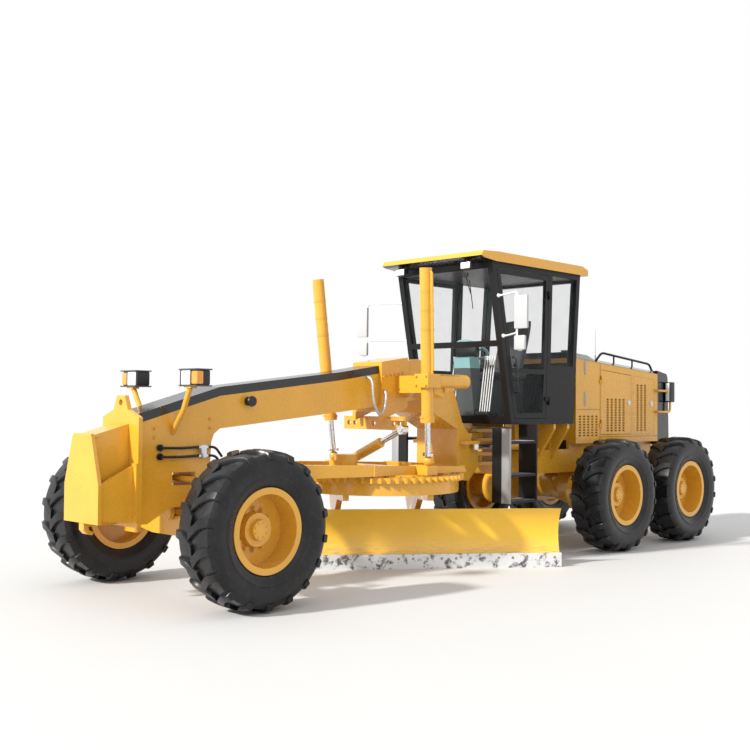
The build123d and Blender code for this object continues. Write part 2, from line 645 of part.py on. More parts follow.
def make_front_frame():
    beam = side_plate(BEAM, -BEAM_HALF, BEAM_HALF)
    shapes = [beam, side_plate(GOOSENECK, -GOOSENECK_HALF, GOOSENECK_HALF)]
    for level in EAR_LEVELS:
        z0, z1 = level - EAR_THICKNESS / 2, level + EAR_THICKNESS / 2
        ear = joined(level_plate([(HINGE_X, -EAR_RADIUS), (2440, -250), (2700, -250), (2700, 250), (2440, 250),
                                  (HINGE_X, EAR_RADIUS)], z0, z1),
                     bar((HINGE_X, 0, z0), (HINGE_X, 0, z1), EAR_RADIUS))
        ear -= bar((HINGE_X, 0, z0 - 5), (HINGE_X, 0, z1 + 5), HINGE_PIN_RADIUS + PIN_GAP)
        shapes.append(ear)
    # Lugs of the articulation cylinders lie over the rod eyes
    px, py, pz = BEND_FRONT_PIN
    over = pz + 30 + PIN_GAP
    shapes += both(joined(block(px, 2720, py - 90, py + 45, over, over + 40), bar((px, py, over), (px, py, over + 40), 45)))
    node("front_frame", joined(*shapes))


NOSE_GAP = 0.3
NOSE_REAR = NOSE_BACK + SEAT_GAP
NOSE_FACE = NOSE_FRONT - SEAT_GAP
NOSE_SPLIT = 1093.0


def make_front_nose():
    """Box at the front of the beam, in pieces that stand a hair apart around the window."""
    # Upper box with the lamp brackets
    upper = side_plate([(NOSE_FACE, NOSE_SPLIT), (NOSE_FACE, 1596), (NOSE_REAR, 1850), (NOSE_REAR, 1472), (6005, 1425),
                        (6035, 1351), (6046, NOSE_SPLIT)], -BEAM_HALF, BEAM_HALF)
    upper = joined(upper, *both(joined(bar((6450, BEAM_HALF - 5, 1440), (6455, 330, 1640), 24),
                                       bar((6455, 330, 1640), (6465, 436, 1832), 24),
                                       block(6430, 6500, 395, 490, 1826, 1850))))
    # Posts below it, each with one ear of the front axle's pivot
    under = NOSE_SPLIT - NOSE_GAP
    rear_post = side_plate([(6046, under), (6050, 1000), (6110, 790), (WINDOW_X[0], 790), (WINDOW_X[0], under)],
                           -BEAM_HALF, BEAM_HALF)
    front_post = side_plate([(WINDOW_X[0] + NOSE_GAP, 790), (WINDOW_X[0] + NOSE_GAP, WINDOW_Z[0]), (WINDOW_X[1], WINDOW_Z[0]),
                             (WINDOW_X[1], under), (NOSE_FACE, under), (NOSE_FACE, 662), (6700, 662), (6460, 790)],
                            -BEAM_HALF, BEAM_HALF)
    ears = [joined(block(xa, xb, -75, 75, AXLE_PIVOT_Z, 800), bar((xa, 0, AXLE_PIVOT_Z), (xb, 0, AXLE_PIVOT_Z), 75))
            for xa, xb in FRAME_EARS]
    rear_post, front_post = joined(rear_post, ears[0]), joined(front_post, ears[1])
    # Mounting plate of the push block, with the lifting eye
    mount = (cross_plate([(-280, 650), (280, 650), (280, 1575), (110, 1640), (60, 1760), (-60, 1760), (-110, 1640),
                          (-280, 1575)], NOSE_FRONT, NOSE_FRONT + MOUNT_PLATE)
             - bar((NOSE_FRONT - 5, 0, 1700), (NOSE_FRONT + MOUNT_PLATE + 5, 0, 1700), 28))
    # Bracket of the drawbar's ball
    ball_post = side_plate([(6010, 735), (6110 - NOSE_GAP, 735), (6110 - NOSE_GAP, 790 - NOSE_GAP), (6050 - NOSE_GAP, 1000),
                            (6050 - NOSE_GAP, 1010), (6010, 1010)], -120, 120)
    arms = []
    for z0 in (BALL_Z + 80, BALL_Z - 110):
        arms.append(joined(block(BALL_X, 6010 - NOSE_GAP, -55, 55, z0, z0 + 30), bar((BALL_X, 0, z0), (BALL_X, 0, z0 + 30), 55))
                    - bar((BALL_X, 0, z0 - 5), (BALL_X, 0, z0 + 35), 30 + PIN_GAP))
    node("front_nose", upper, rear_post, front_post, mount, ball_post, *arms)


def make_push_block():
    """The block at the nose, bolted to the mounting plate."""
    back, plate = NOSE_FRONT + MOUNT_PLATE + SEAT_GAP, FRONT_X - PUSH_PLATE
    face = cross_plate([(-PUSH_HALF, PUSH_BOTTOM), (PUSH_HALF, PUSH_BOTTOM), (PUSH_HALF, 1020), (147, 1425),
                        (-147, 1425), (-PUSH_HALF, 1020)], plate, FRONT_X)
    walls = both(side_plate([(back, 690), (plate + 5, 730), (plate + 5, 1020), (back, 1180)], 205, 237))
    walls += both(side_plate([(back, 1150), (plate + 5, 1000), (plate + 5, 1390), (back, 1500)], 100, 132))
    flanges = both(block(back, back + 20, 200, 285, 690, 1190))
    roll = bar((plate + 16, -140, 1425), (plate + 16, 140, 1425), 16)
    top = side_plate([(back, 1480), (plate + 10, 1395), (plate + 10, 1425), (back, 1520)], -130, 130)
    floor = side_plate([(back, 700), (plate + 5, 720), (plate + 5, 750), (back, 730)], -230, 230)
    node("push_block", joined(face, *walls, *flanges, roll, top, floor))


def make_headlamps():
    node("headlamps", both(joined(block(6425, 6515, 345, 550, 1850 + SEAT_GAP, 1985),
                                  block(6435, 6505, 550, 590, 1880, 1960))))


def make_saddle():
    x0, x1 = SADDLE_X
    inner, outer = BEAM_HALF + PIN_GAP, BEAM_HALF + SADDLE_WALL
    top0, top1 = along(BEAM_TOP, x0) + PIN_GAP, along(BEAM_TOP, x1) + PIN_GAP
    low0, low1 = along(BEAM_UNDER, x0) - PIN_GAP, along(BEAM_UNDER, x1) - PIN_GAP
    side = side_plate([(x0, low0 - 60), (x0, top0 + 40), (x1, top1 + 40), (x1, low1 - 150)], inner, outer)
    shapes = both(side)
    shapes.append(side_plate([(x0, top0), (x0, top0 + 40), (x1, top1 + 40), (x1, top1)], -outer, outer))
    shapes.append(side_plate([(x0, low0 - 60), (x0, low0), (x1, low1), (x1, low1 - 60)], -outer, outer))
    arm = side_plate([(x0 + 20, 1780), (x0 + 20, 2010), (3655, 2010), (3655, 1830)], outer - 5, LIFT_Y)
    hub = bar((TUBE_BACK, LIFT_Y, LIFT_PIVOT_Z), (3655, LIFT_Y, LIFT_PIVOT_Z), TUBE_RADIUS)
    web = side_plate([(TUBE_BACK + 60, LIFT_PIVOT_Z - 20), (x0 + 25, 1830), (x0 + 25, LIFT_PIVOT_Z)], LIFT_Y - 20, LIFT_Y + 20)
    bore = bar((3100, LIFT_Y, LIFT_PIVOT_Z), (3700, LIFT_Y, LIFT_PIVOT_Z), 36 + PIN_GAP)
    shapes += both(joined(arm, hub, web) - bore)
    # Plate with the locking holes, and the lug over the shift cylinder's eye
    eye_y, eye_z = SHIFT_HIGH
    k0, k1 = LOCK_X
    ends, lug_z = LOCK_HALF, eye_z + SHIFT_EYE + LUG_CLEAR
    lock = cross_plate([(-ends, eye_z - 10), (-ends, lug_z + 40), (-outer, eye_z + 130), (outer, eye_z + 130),
                        (ends, lug_z + 40), (ends, eye_z - 10)], k0, k1)
    for y in (-375, -285, 0, 285, 375):
        lock -= bar((k0 - 5, y, eye_z + 58), (k1 + 5, y, eye_z + 58), 27)
    webs = both(side_plate([(x1 - 5, low1 - 150), (x1 - 5, low1 - 40), (x0 + 40, low0 - 40), (x0 + 40, low0 - 60)], 175, 205))
    lug = joined(level_plate([(k0 + 2, LOCK_HALF - 130), (k0 + 2, LOCK_HALF - 20), (SHIFT_X - 28, eye_y + 28),
                              (SHIFT_X + 28, eye_y - 28), (k1 + 70, LOCK_HALF - 130)], lug_z, lug_z + 34),
                 bar((SHIFT_X, eye_y, lug_z), (SHIFT_X, eye_y, lug_z + 34), 40))
    lug -= bar((SHIFT_X, eye_y, lug_z - 5), (SHIFT_X, eye_y, lug_z + 40), 16)
    node("saddle", joined(*shapes, lock, *webs, lug))


def make_lift_cylinders():
    """Each cylinder lies on the line from its pivot on the saddle to its ball on the drawbar."""
    for name, sign in (("left", 1), ("right", -1)):
        pivot = (LIFT_X, sign * LIFT_Y, LIFT_PIVOT_Z)
        foot = (LIFT_BALL[0], sign * LIFT_BALL[1], LIFT_BALL[2])

        def at(height, out=0.0):
            """A point of that line, height above the pivot, moved out sideways."""
            x, y, z = on_line(pivot, foot, -height)
            return (x, y + sign * out, z)
        low, top = LIFT_BARREL_BOTTOM - LIFT_PIVOT_Z, LIFT_BARREL_TOP - LIFT_PIVOT_Z
        y, beside = pivot[1], LIFT_BARREL_RADIUS + 8
        barrel = joined(bar(at(low), at(top), LIFT_BARREL_RADIUS),
                        bar(at(low), at(low + 70), LIFT_BARREL_RADIUS + 10),
                        block(3660, LIFT_X + 92, y - 92, y + 92, LIFT_PIVOT_Z - 70, LIFT_PIVOT_Z + 70),
                        bar((TUBE_BACK + 10, y, LIFT_PIVOT_Z), (3670, y, LIFT_PIVOT_Z), 36),
                        bar(at(60, beside), at(top - 60, beside), 12))
        depth = LIFT_TRAVEL[0] + LIFT_TRAVEL[1] + 120
        barrel -= bar(at(low - 5), at(low + depth), LIFT_ROD_RADIUS + PIN_GAP)
        node("lift_cylinder_" + name, barrel)
        cup = LIFT_BALL_RADIUS + FOOT_GAP - math.dist(pivot, foot)
        rod = joined(bar(at(cup + 5), at(low + LIFT_TRAVEL[1] + 60), LIFT_ROD_RADIUS), bar(at(cup), at(cup + LIFT_CUP), 60))
        node("lift_rod_" + name, rod)


def make_axle():
    x0, x1 = AXLE_BEAM_X
    z0, z1 = 525.0, 700.0
    inner = LEAN_Y - 66
    beam = cross_plate([(-inner, z0 + 40), (-300, z0), (300, z0), (inner, z0 + 40), (inner, z1 - 40),
                        (300, z1), (-300, z1), (-inner, z1 - 40)], x0, x1)
    hang = AXLE_PIVOT_Z
    shapes = [beam, bar((FRAME_EARS[0][1] + PIN_GAP, 0, hang), (FRAME_EARS[1][0] - PIN_GAP, 0, hang), 48),
              block(x0 + 20, x1 - 20, -48, 48, z1 - 10, hang)]
    for sign in (1, -1):
        y = sign * LEAN_Y
        for xa, xb in ((x0 - 25, x0 + 5), (x1 - 5, x1 + 25)):
            ya, yb = sorted((y, y - sign * 95))
            shapes.append(bar((xa, y, LEAN_Z), (xb, y, LEAN_Z), LEAN_BOSS))
            shapes.append(block(xa, xb, ya, yb, LEAN_Z - LEAN_BOSS, LEAN_Z + LEAN_BOSS))
        shapes.append(bar((x0 - 31, y, LEAN_Z), (x1 + 31, y, LEAN_Z), LEAN_PIN))
    node("axle_beam", joined(*shapes))


def make_lean_carrier(name, sign):
    """The piece that leans, with the kingpin and the upper arm."""
    x0, x1 = AXLE_BEAM_X[0] + 5 + 3, AXLE_BEAM_X[1] - 5 - 3
    y, k = sign * LEAN_Y, sign * KINGPIN_Y

    def span(a, b):
        return sorted((sign * a, sign * b))
    boss_low, boss_high = KINGPIN_BOSS
    eye = bar((x0, y, LEAN_Z), (x1, y, LEAN_Z), LEAN_BOSS)
    boss = bar((WHEELBASE, k, boss_low), (WHEELBASE, k, boss_high), 58)
    web = block(WHEELBASE - 50, WHEELBASE + 50, *span(LEAN_Y, KINGPIN_Y), boss_low, boss_high)
    arm = side_plate([(WHEELBASE - 50, boss_high - 60), (WHEELBASE + 50, boss_high - 60), (WHEELBASE + 136, 940),
                      (WHEELBASE + 136, 1090), (WHEELBASE + 100, 1090), (WHEELBASE + 100, 965),
                      (WHEELBASE + 20, 895), (WHEELBASE - 50, 880)], *span(LEAN_Y - 30, LEAN_Y + 5))
    carrier = joined(eye, boss, web, arm) - bar((x0 - 5, y, LEAN_Z), (x1 + 5, y, LEAN_Z), LEAN_PIN + PIN_GAP)
    pin = bar((WHEELBASE, k, boss_low - 55), (WHEELBASE, k, boss_high + 55), KINGPIN_RADIUS)
    stud = bar((LEAN_BAR_X - 34, y, LEAN_BAR_Z), (WHEELBASE + 110, y, LEAN_BAR_Z), 22)
    node("lean_carrier_" + name, joined(carrier, pin, stud))


def make_knuckle(name, sign):
    """The fork round the kingpin, with the hub face and the steering arm."""
    k = sign * KINGPIN_Y
    hub_face = sign * (TREAD / 2 + HUB_BACK - SEAT_GAP)
    boss_low, boss_high = KINGPIN_BOSS
    ya, yb = sorted((k, k + sign * 110))
    fork = []
    for za, zb in ((boss_low - 45, boss_low - PIN_GAP), (boss_high + PIN_GAP, boss_high + 45)):
        fork.append(bar((WHEELBASE, k, za), (WHEELBASE, k, zb), 58))
        fork.append(block(WHEELBASE - 58, WHEELBASE + 58, ya, yb, za, zb))
    ya, yb = sorted((k + sign * 72, k + sign * 110))
    plate = block(WHEELBASE - 58, WHEELBASE + 58, ya, yb, boss_low - 45, boss_high + 45)
    spindle = bar((WHEELBASE, k + sign * 100, AXLE_Z), (WHEELBASE, hub_face, AXLE_Z), 66)
    drum = bar((WHEELBASE, hub_face - sign * 70, AXLE_Z), (WHEELBASE, hub_face, AXLE_Z), 128)
    low = boss_low - 23
    end = (WHEELBASE - ARM_REACH, sign * LEAN_Y)
    arm = [bar((WHEELBASE - 20, k, low), (WHEELBASE - 120, k, low), 21), bar((WHEELBASE - 120, k, low), (*end, low), 21),
           ball((WHEELBASE - 120, k, low), 21), bar((*end, low - 21), (*end, LEAN_Z), 18),
           ball((*end, LEAN_Z), TIE_BALL_RADIUS)]
    knuckle = joined(*fork, plate, spindle, drum, *arm)
    knuckle -= bar((WHEELBASE, k, boss_low - 100), (WHEELBASE, k, boss_high + 100), KINGPIN_RADIUS + PIN_GAP)
    node("knuckle_" + name, knuckle)


def make_lean_parts():
    for name, sign in (("left", 1), ("right", -1)):
        make_lean_carrier(name, sign)
        make_knuckle(name, sign)
    bar_solid = joined(bar((LEAN_BAR_X, -LEAN_Y, LEAN_BAR_Z), (LEAN_BAR_X, LEAN_Y, LEAN_BAR_Z), 24),
                       *[bar((LEAN_BAR_X - 20, s * LEAN_Y, LEAN_BAR_Z), (LEAN_BAR_X + 12, s * LEAN_Y, LEAN_BAR_Z), 44)
                         for s in (1, -1)])
    for s in (1, -1):
        bar_solid -= bar((LEAN_BAR_X - 60, s * LEAN_Y, LEAN_BAR_Z), (LEAN_BAR_X + 60, s * LEAN_Y, LEAN_BAR_Z), 22 + PIN_GAP)
    node("lean_bar", bar_solid)
    # The tie rod lies on the balls of the two steering arms
    pad = LEAN_Z + TIE_BALL_RADIUS + SEAT_GAP
    x = WHEELBASE - ARM_REACH
    tie = joined(bar((x, -LEAN_Y, pad + 26), (x, LEAN_Y, pad + 26), 20),
                 *[bar((x, s * LEAN_Y, pad), (x, s * LEAN_Y, pad + 52), 34) for s in (1, -1)])
    node("tie_rod", tie)


# Drawbar, circle and blade

def make_drawbar():
    node("drawbar_ball", joined(ball((BALL_X, 0, BALL_Z), BALL_RADIUS - 8),
                                bar((BALL_X, 0, BALL_Z - 125), (BALL_X, 0, BALL_Z + 125), 30),
                                bar((BALL_X, -128, BALL_Z), (BALL_X, 128, BALL_Z), 30)))
    shapes = []
    for sign in (1, -1):
        ya, yb = min(sign * 90, sign * 122), max(sign * 90, sign * 122)
        lug = joined(bar((BALL_X, ya, BALL_Z), (BALL_X, yb, BALL_Z), 62),
                     side_plate([(BALL_X, BALL_Z - 60), (BALL_X, BALL_Z + 60), (5700, BALL_Z + 95), (5700, BALL_Z - 70)], ya, yb))
        shapes.append(lug - bar((BALL_X, sign * 80, BALL_Z), (BALL_X, sign * 130, BALL_Z), 30 + PIN_GAP))
    shapes.append(block(5640, 5760, -122, 122, BALL_Z - 70, BALL_Z + 95))
    # Side rails: a tapered deep web out to the circle frame, then straight beside the circle
    start, knee = (5660.0, 75.0), (4330.0, RAIL_Y)
    run = math.hypot(start[0] - knee[0], start[1] - knee[1])
    turn = math.degrees(math.atan2(knee[1] - start[1], knee[0] - start[0]))
    web = side_plate([(0, BALL_Z - 70), (0, BALL_Z + 95), (520, 1120), (run, 1100), (run, 995), (560, 985)], -45, 45)
    web = Pos(start[0], start[1], 0) * Rot(0, 0, turn) * web
    straight = side_plate([(4370, 995), (4370, 1102), (3000, 1050), (2960, 1010), (2960, 990)], RAIL_Y - 45, RAIL_Y + 45)
    shapes += both(joined(web, straight))
    for x in (4300.0, 3696.0, 2985.0):
        shapes.append(block(x - 55, x + 55, -RAIL_Y, RAIL_Y, 990, 1060))
    # Circle drive on the front cross member
    shapes += [bar((DRIVE_X, 0, 990), (DRIVE_X, 0, 1190), 118), block(DRIVE_X, 4330, -95, 95, 990, 1130)]
    # Balls of the lift cylinders
    bx, by, bz = LIFT_BALL
    for sign in (1, -1):
        shapes.append(block(bx - 80, bx + 80, min(sign * (RAIL_Y - 40), sign * (by + 60)), max(sign * (RAIL_Y - 40), sign * (by + 60)),
                            992, bz - LIFT_BALL_RADIUS + 6))
        shapes.append(ball((bx, sign * by, bz), LIFT_BALL_RADIUS))
    # Pin of the shift cylinder
    y, z = SHIFT_LOW
    for x in (SHIFT_X - 75, SHIFT_X + 37):
        shapes.append(joined(bar((x, y, z), (x + 38, y, z), 48), block(x, x + 38, y - 130, y + 48, 990, z + 10)))
    shapes.append(bar((SHIFT_X - 80, y, z), (SHIFT_X + 80, y, z), SHIFT_PIN))
    shapes.append(block(CIRCLE_X - 40, SHIFT_X + 75, -RAIL_Y, y - 60, 990, 1040))
    # Shoes that hang the circle
    shapes += [block(CIRCLE_X + dx - 50, CIRCLE_X + dx + 50, sign * RAIL_Y - 40, sign * RAIL_Y + 40, RING_TOP + SEAT_GAP, 1000)
               for dx in (-420, 420) for sign in (1, -1)]
    node("drawbar", joined(*shapes))


def blade_frame(shape):
    """From the blade's own axes (x to its right end, y ahead) to the machine."""
    return Pos(CIRCLE_X, 0, 0) * Rot(0, 0, BLADE_TURN) * shape


def make_circle():
    pitch = 360.0 / TOOTH_COUNT
    points = []
    for i in range(TOOTH_COUNT):
        for radius, turn in ((TOOTH_ROOT, 0.0), (TOOTH_ROOT, 0.36), (TOOTH_TIP, 0.56), (TOOTH_TIP, 0.80)):
            a = math.radians(pitch * (i + turn))
            points.append((radius * math.cos(a), radius * math.sin(a)))
    teeth = level_plate(points, TOOTH_BOTTOM, RING_TOP)
    band = bar((0, 0, RING_BOTTOM), (0, 0, TOOTH_BOTTOM + 1), TOOTH_ROOT - 14)
    ring = joined(teeth, band) - bar((0, 0, RING_BOTTOM - 5), (0, 0, RING_TOP + 5), RING_INNER)
    py, pz = PITCH_PIN
    shapes = [ring]
    for sign in (1, -1):
        xa, xb = sorted((sign * (ARM_SPACING - 30), sign * (ARM_SPACING + 30)))
        arm = cross_plate([(-690, RING_BOTTOM + 20), (-690, RING_BOTTOM - 60), (-160, pz + 60), (py, pz - ARM_BOSS + 1), (py, pz + ARM_BOSS - 1),
                           (-60, 560), (140, RING_BOTTOM - 90), (690, RING_BOTTOM - 60), (690, RING_BOTTOM + 20)], xa, xb)
        shapes.append(joined(arm, bar((xa, py, pz), (xb, py, pz), ARM_BOSS))
                      - bar((xa - 5, py, pz), (xb + 5, py, pz), 25 + PIN_GAP))
    shapes.append(block(-ARM_SPACING, ARM_SPACING, -190, -110, 330, 410))
    node("circle", blade_frame(joined(*shapes)))


FACE_LOW = (EDGE_AHEAD - EDGE_THICKNESS - SEAT_GAP, 60.0)
FACE_MID = (EDGE_AHEAD - 118.0, 330.0)
FACE_TOP = (EDGE_AHEAD - 20.0, BLADE_TOP)


def make_blade():
    half = BLADE_LENGTH / 2
    x0, x1 = BLADE_SHIFT - half, BLADE_SHIFT + half

    def at(point, back=0.0):
        return Vector(x0, point[0] - back, point[1])
    front = Edge.make_three_point_arc(at(FACE_LOW), at(FACE_MID), at(FACE_TOP))
    rear = Edge.make_three_point_arc(at(FACE_TOP, SKIN), at(FACE_MID, SKIN), at(FACE_LOW, SKIN))
    section = Face(Wire([front, Edge.make_line(at(FACE_TOP), at(FACE_TOP, SKIN)), rear,
                         Edge.make_line(at(FACE_LOW, SKIN), at(FACE_LOW))]))
    shapes = [Solid.extrude(section, Vector(x1 - x0, 0, 0))]
    rail_back = RAIL_BACK
    rail_x = (BLADE_SHIFT - half + 330, BLADE_SHIFT + half - 330)
    for level in RAIL_LEVELS:
        shapes.append(block(rail_x[0], rail_x[1], rail_back, rail_back + 16, level - BLADE_RAIL / 2, level + BLADE_RAIL / 2))
        shapes.append(block(rail_x[0], rail_x[1], rail_back + 10, FACE_MID[0] + 18, level - 9, level + 9))
    node("moldboard", blade_frame(joined(*shapes)))
    edge_face = EDGE_AHEAD
    edge = block(x0, x1, edge_face - EDGE_THICKNESS, edge_face, 0, EDGE_HEIGHT)
    node("cutting_edge", blade_frame(edge))

    py, pz = PITCH_PIN
    shapes = []
    for sign in (1, -1):
        xa, xb = sorted((sign * (ARM_SPACING - 32 - PIN_GAP), sign * (ARM_SPACING - 75)))
        plate = cross_plate([(py - 40, pz - 43), (py + 20, 113), (py + 46, 113), (py + 46, 561), (py - 20, 561), (py - 60, pz + 60)], xa, xb)
        pin = bar((min(xa, sign * (ARM_SPACING + 40)), py, pz), (max(xb, sign * (ARM_SPACING + 40)), py, pz), 25)
        shoes = []
        for level in RAIL_LEVELS:
            half_rail = BLADE_RAIL / 2 + PIN_GAP
            sa, sb = sorted((sign * (ARM_SPACING - 32 - PIN_GAP), sign * (ARM_SPACING - 150)))
            for za, zb in ((level + half_rail, level + half_rail + 22), (level - half_rail - 22, level - half_rail)):
                shoes.append(block(sa, sb, py + 10, rail_back + 17, za, zb))
            shoes.append(block(sa, sb, py + 10, rail_back - PIN_GAP, level - half_rail - 22, level + half_rail + 22))
        shapes.append(joined(plate, pin, *shoes))
    node("blade_carrier", blade_frame(shapes[0]), blade_frame(shapes[1]))


def make_shift_cylinder():
    low = (SHIFT_X, SHIFT_LOW[0], SHIFT_LOW[1])
    high = (SHIFT_X, SHIFT_HIGH[0], SHIFT_HIGH[1])
    length = math.dist(low, high)

    def across(point, half, radius):
        """A round bar along X through a point."""
        return bar((point[0] - half, point[1], point[2]), (point[0] + half, point[1], point[2]), radius)
    node("shift_bush", across(low, 34, SHIFT_BUSH) - across(low, 40, SHIFT_PIN + PIN_GAP))
    barrel = joined(bar(on_line(low, high, 65), on_line(low, high, SHIFT_BARREL_LENGTH), SHIFT_BARREL_RADIUS),
                    bar(low, on_line(low, high, 70), 32), across(low, 34, 52))
    barrel -= across(low, 60, SHIFT_BUSH + PIN_GAP)
    barrel -= bar(on_line(low, high, 110), on_line(low, high, SHIFT_BARREL_LENGTH + 10), SHIFT_ROD_RADIUS + PIN_GAP)
    node("shift_cylinder", barrel)
    inside = length - SHIFT_BARREL_LENGTH + SHIFT_TRAVEL + 60
    node("shift_rod", joined(bar(on_line(high, low, inside), on_line(high, low, 20), SHIFT_ROD_RADIUS),
                             across(high, 35, SHIFT_EYE), across(high, 46, SHIFT_PIN)))


def make_bend_cylinders():
    for name, sign in (("left", 1), ("right", -1)):
        a = (BEND_REAR_PIN[0], sign * BEND_REAR_PIN[1], BEND_REAR_PIN[2])
        b = (BEND_FRONT_PIN[0], sign * BEND_FRONT_PIN[1], BEND_FRONT_PIN[2])
        length = math.dist(a, b)
        eye = bar((a[0], a[1], a[2] - 30), (a[0], a[1], a[2] + 30), 42) - bar(
            (a[0], a[1], a[2] - 60), (a[0], a[1], a[2] + 60), 20 + PIN_GAP)
        barrel = bar(on_line(a, b, 38), on_line(a, b, BEND_BARREL_LENGTH), BEND_BARREL_RADIUS)
        barrel -= bar(on_line(a, b, 100), on_line(a, b, BEND_BARREL_LENGTH + 10), BEND_ROD_RADIUS + PIN_GAP)
        eye_block = joined(eye, barrel) - bar((a[0], a[1], a[2] - 60), (a[0], a[1], a[2] + 60), 20 + PIN_GAP)
        node("bend_cylinder_" + name, eye_block)
        inside = length - BEND_BARREL_LENGTH + BEND_STROKE + 60
        rod = joined(bar(on_line(b, a, inside), on_line(b, a, 20), BEND_ROD_RADIUS),
                     bar((b[0], b[1], b[2] - 30), (b[0], b[1], b[2] + 30), 42))
        node("bend_rod_" + name, rod)


HOSE_RADIUS = 14.0


def make_hoses():
    routes = (
        ((4060, 170.8, 1990), (4060, 262, 1985), (4058, 264, 1760), (3975, 264, 1585), (3880, 264, 1640), (3850, 262, 1850),
         (3850, 215.8, 1852)),
    )
    hoses = []
    for route in routes:
        runs = [Vector(*p) for p in route]
        radii = []
        for a, b, c in zip(runs, runs[1:], runs[2:]):
            turn = math.radians((b - a).get_angle(c - b))
            radii.append(0.45 * min((b - a).length, (c - b).length) / math.tan(turn / 2))
        path = FilletPolyline(*runs, radius=radii)
        start = Plane(path @ 0, z_dir=path % 0)
        hoses.append(sweep(start * Circle(HOSE_RADIUS), path=path))
    node("saddle_hoses", hoses)


def main():
    make_wheels()
    make_tandems()
    make_rear_chassis()
    make_hood()
    make_hood_cover()
    make_engine()
    make_cab()
    make_ladders()
    make_cab_fittings()
    make_front_frame()
    make_front_nose()
    make_push_block()
    make_headlamps()
    make_saddle()
    make_lift_cylinders()
    make_axle()
    make_lean_parts()
    make_drawbar()
    make_circle()
    make_blade()
    make_shift_cylinder()
    make_bend_cylinders()
    make_hoses()
    os.makedirs("parts", exist_ok=True)
    for name, shape in nodes.items():
        export_step(Pos(-ORIGIN_X, -ORIGIN_Y, 0) * shape, f"parts/{name}.step")
    print(len(nodes), "nodes")


if __name__ == "__main__":
    main()
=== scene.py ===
"""Looks of a six-wheel motor grader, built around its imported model."""
import math

import bmesh
import bpy
from bpy.props import FloatProperty, FloatVectorProperty, IntProperty, PointerProperty
from mathutils import Matrix, Vector


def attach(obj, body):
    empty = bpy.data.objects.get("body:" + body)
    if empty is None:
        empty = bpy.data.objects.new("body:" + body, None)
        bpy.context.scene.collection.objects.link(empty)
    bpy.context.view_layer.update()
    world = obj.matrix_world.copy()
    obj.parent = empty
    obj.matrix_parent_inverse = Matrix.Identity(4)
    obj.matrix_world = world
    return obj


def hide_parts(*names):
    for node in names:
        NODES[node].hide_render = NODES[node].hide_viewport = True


bl_info = {
    "name": "Motor Grader Looks",
    "version": (1, 0, 0),
    "blender": (4, 5, 0),
    "location": "3D View > Sidebar > Grader",
    "description": "Finishes, treads, grilles and fittings of a motor grader",
    "category": "Object",
}

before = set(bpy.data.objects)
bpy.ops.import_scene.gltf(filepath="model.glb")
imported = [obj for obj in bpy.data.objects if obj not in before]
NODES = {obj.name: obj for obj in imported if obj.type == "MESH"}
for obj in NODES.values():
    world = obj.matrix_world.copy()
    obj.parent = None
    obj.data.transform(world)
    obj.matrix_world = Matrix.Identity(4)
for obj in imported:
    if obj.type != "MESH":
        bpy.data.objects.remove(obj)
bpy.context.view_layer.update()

# Shapes are in millimetres from the ground under the tandem's centre.
# ORIGIN_X and ORIGIN_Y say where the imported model's origin lies there.
ORIGIN_X = 2873.0
ORIGIN_Y = 59.555
SIDES = (("left", 1), ("right", -1))
WHEELBASE = 6260.0
TREAD = 2155.0
# Name, x and side of each wheel
WHEELS = tuple((axle + "_" + name, x, side)
               for axle, x in (("front", WHEELBASE), ("middle", 769.0), ("rear", -769.0))
               for name, side in SIDES)
TYRE_RADIUS = AXLE_Z = 664.0
BLACK = (0.006, 0.006, 0.007)
PAINT_DUST = (0.33, 0.27, 0.19)
STEEL_DUST = (0.3, 0.24, 0.17)
RUBBER_DUST = (0.12, 0.1, 0.08)
BARE_STEEL = (0.3, 0.27, 0.22)


def metres(place):
    """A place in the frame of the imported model."""
    x, y, z = place
    return Vector(((x - ORIGIN_X) / 1000, (y - ORIGIN_Y) / 1000, z / 1000))


# Settings that a user would change

def colour_setting(name, description, default):
    return FloatVectorProperty(name=name, description=description, subtype="COLOR", min=0, max=1,
                               default=default)


def size_setting(name, description, default, low, high):
    return FloatProperty(name=name, description=description, default=default, min=low, max=high)


class GraderPaint(bpy.types.PropertyGroup):
    """Colours of the machine."""
    body: colour_setting("Body", "Main paint", (0.66, 0.33, 0.026))
    trim: colour_setting("Trim", "Cab frame and other dark paint", BLACK)
    tyre: colour_setting("Tyre", "Tyre rubber", (0.008, 0.008, 0.009))
    dust: size_setting("Dust", "How much dust lies on the low parts", 0.25, 0, 1)


class GraderTread(bpy.types.PropertyGroup):
    """Sizes of the tyre tread."""
    lugs: IntProperty(name="Lugs", description="Lugs on each side of one tyre", default=18, min=8, max=40)
    depth: size_setting("Depth", "Height of a lug, mm", 33.0, 5, 60)
    bar: size_setting("Bar", "Width of a lug, mm", 94.0, 20, 160)


class GraderGrille(bpy.types.PropertyGroup):
    """Holes of the hood grilles."""
    hole_width: size_setting("Hole width", "Width of a grille hole, mm", 45.0, 5, 80)
    hole_height: size_setting("Hole height", "Height of a grille hole, mm", 19.0, 5, 40)
    pitch: size_setting("Pitch", "Distance between rows of holes, mm", 32.6, 10, 80)


class GraderStage(bpy.types.PropertyGroup):
    """Light and floor."""
    key: size_setting("Key light", "Strength of the sun-like key light", 5.2, 0, 100)
    sky: size_setting("Sky", "Strength of the even light", 1.0, 0, 100)
    floor: colour_setting("Floor", "Floor colour", (0.55, 0.55, 0.55))


# Shader maths as plain expressions

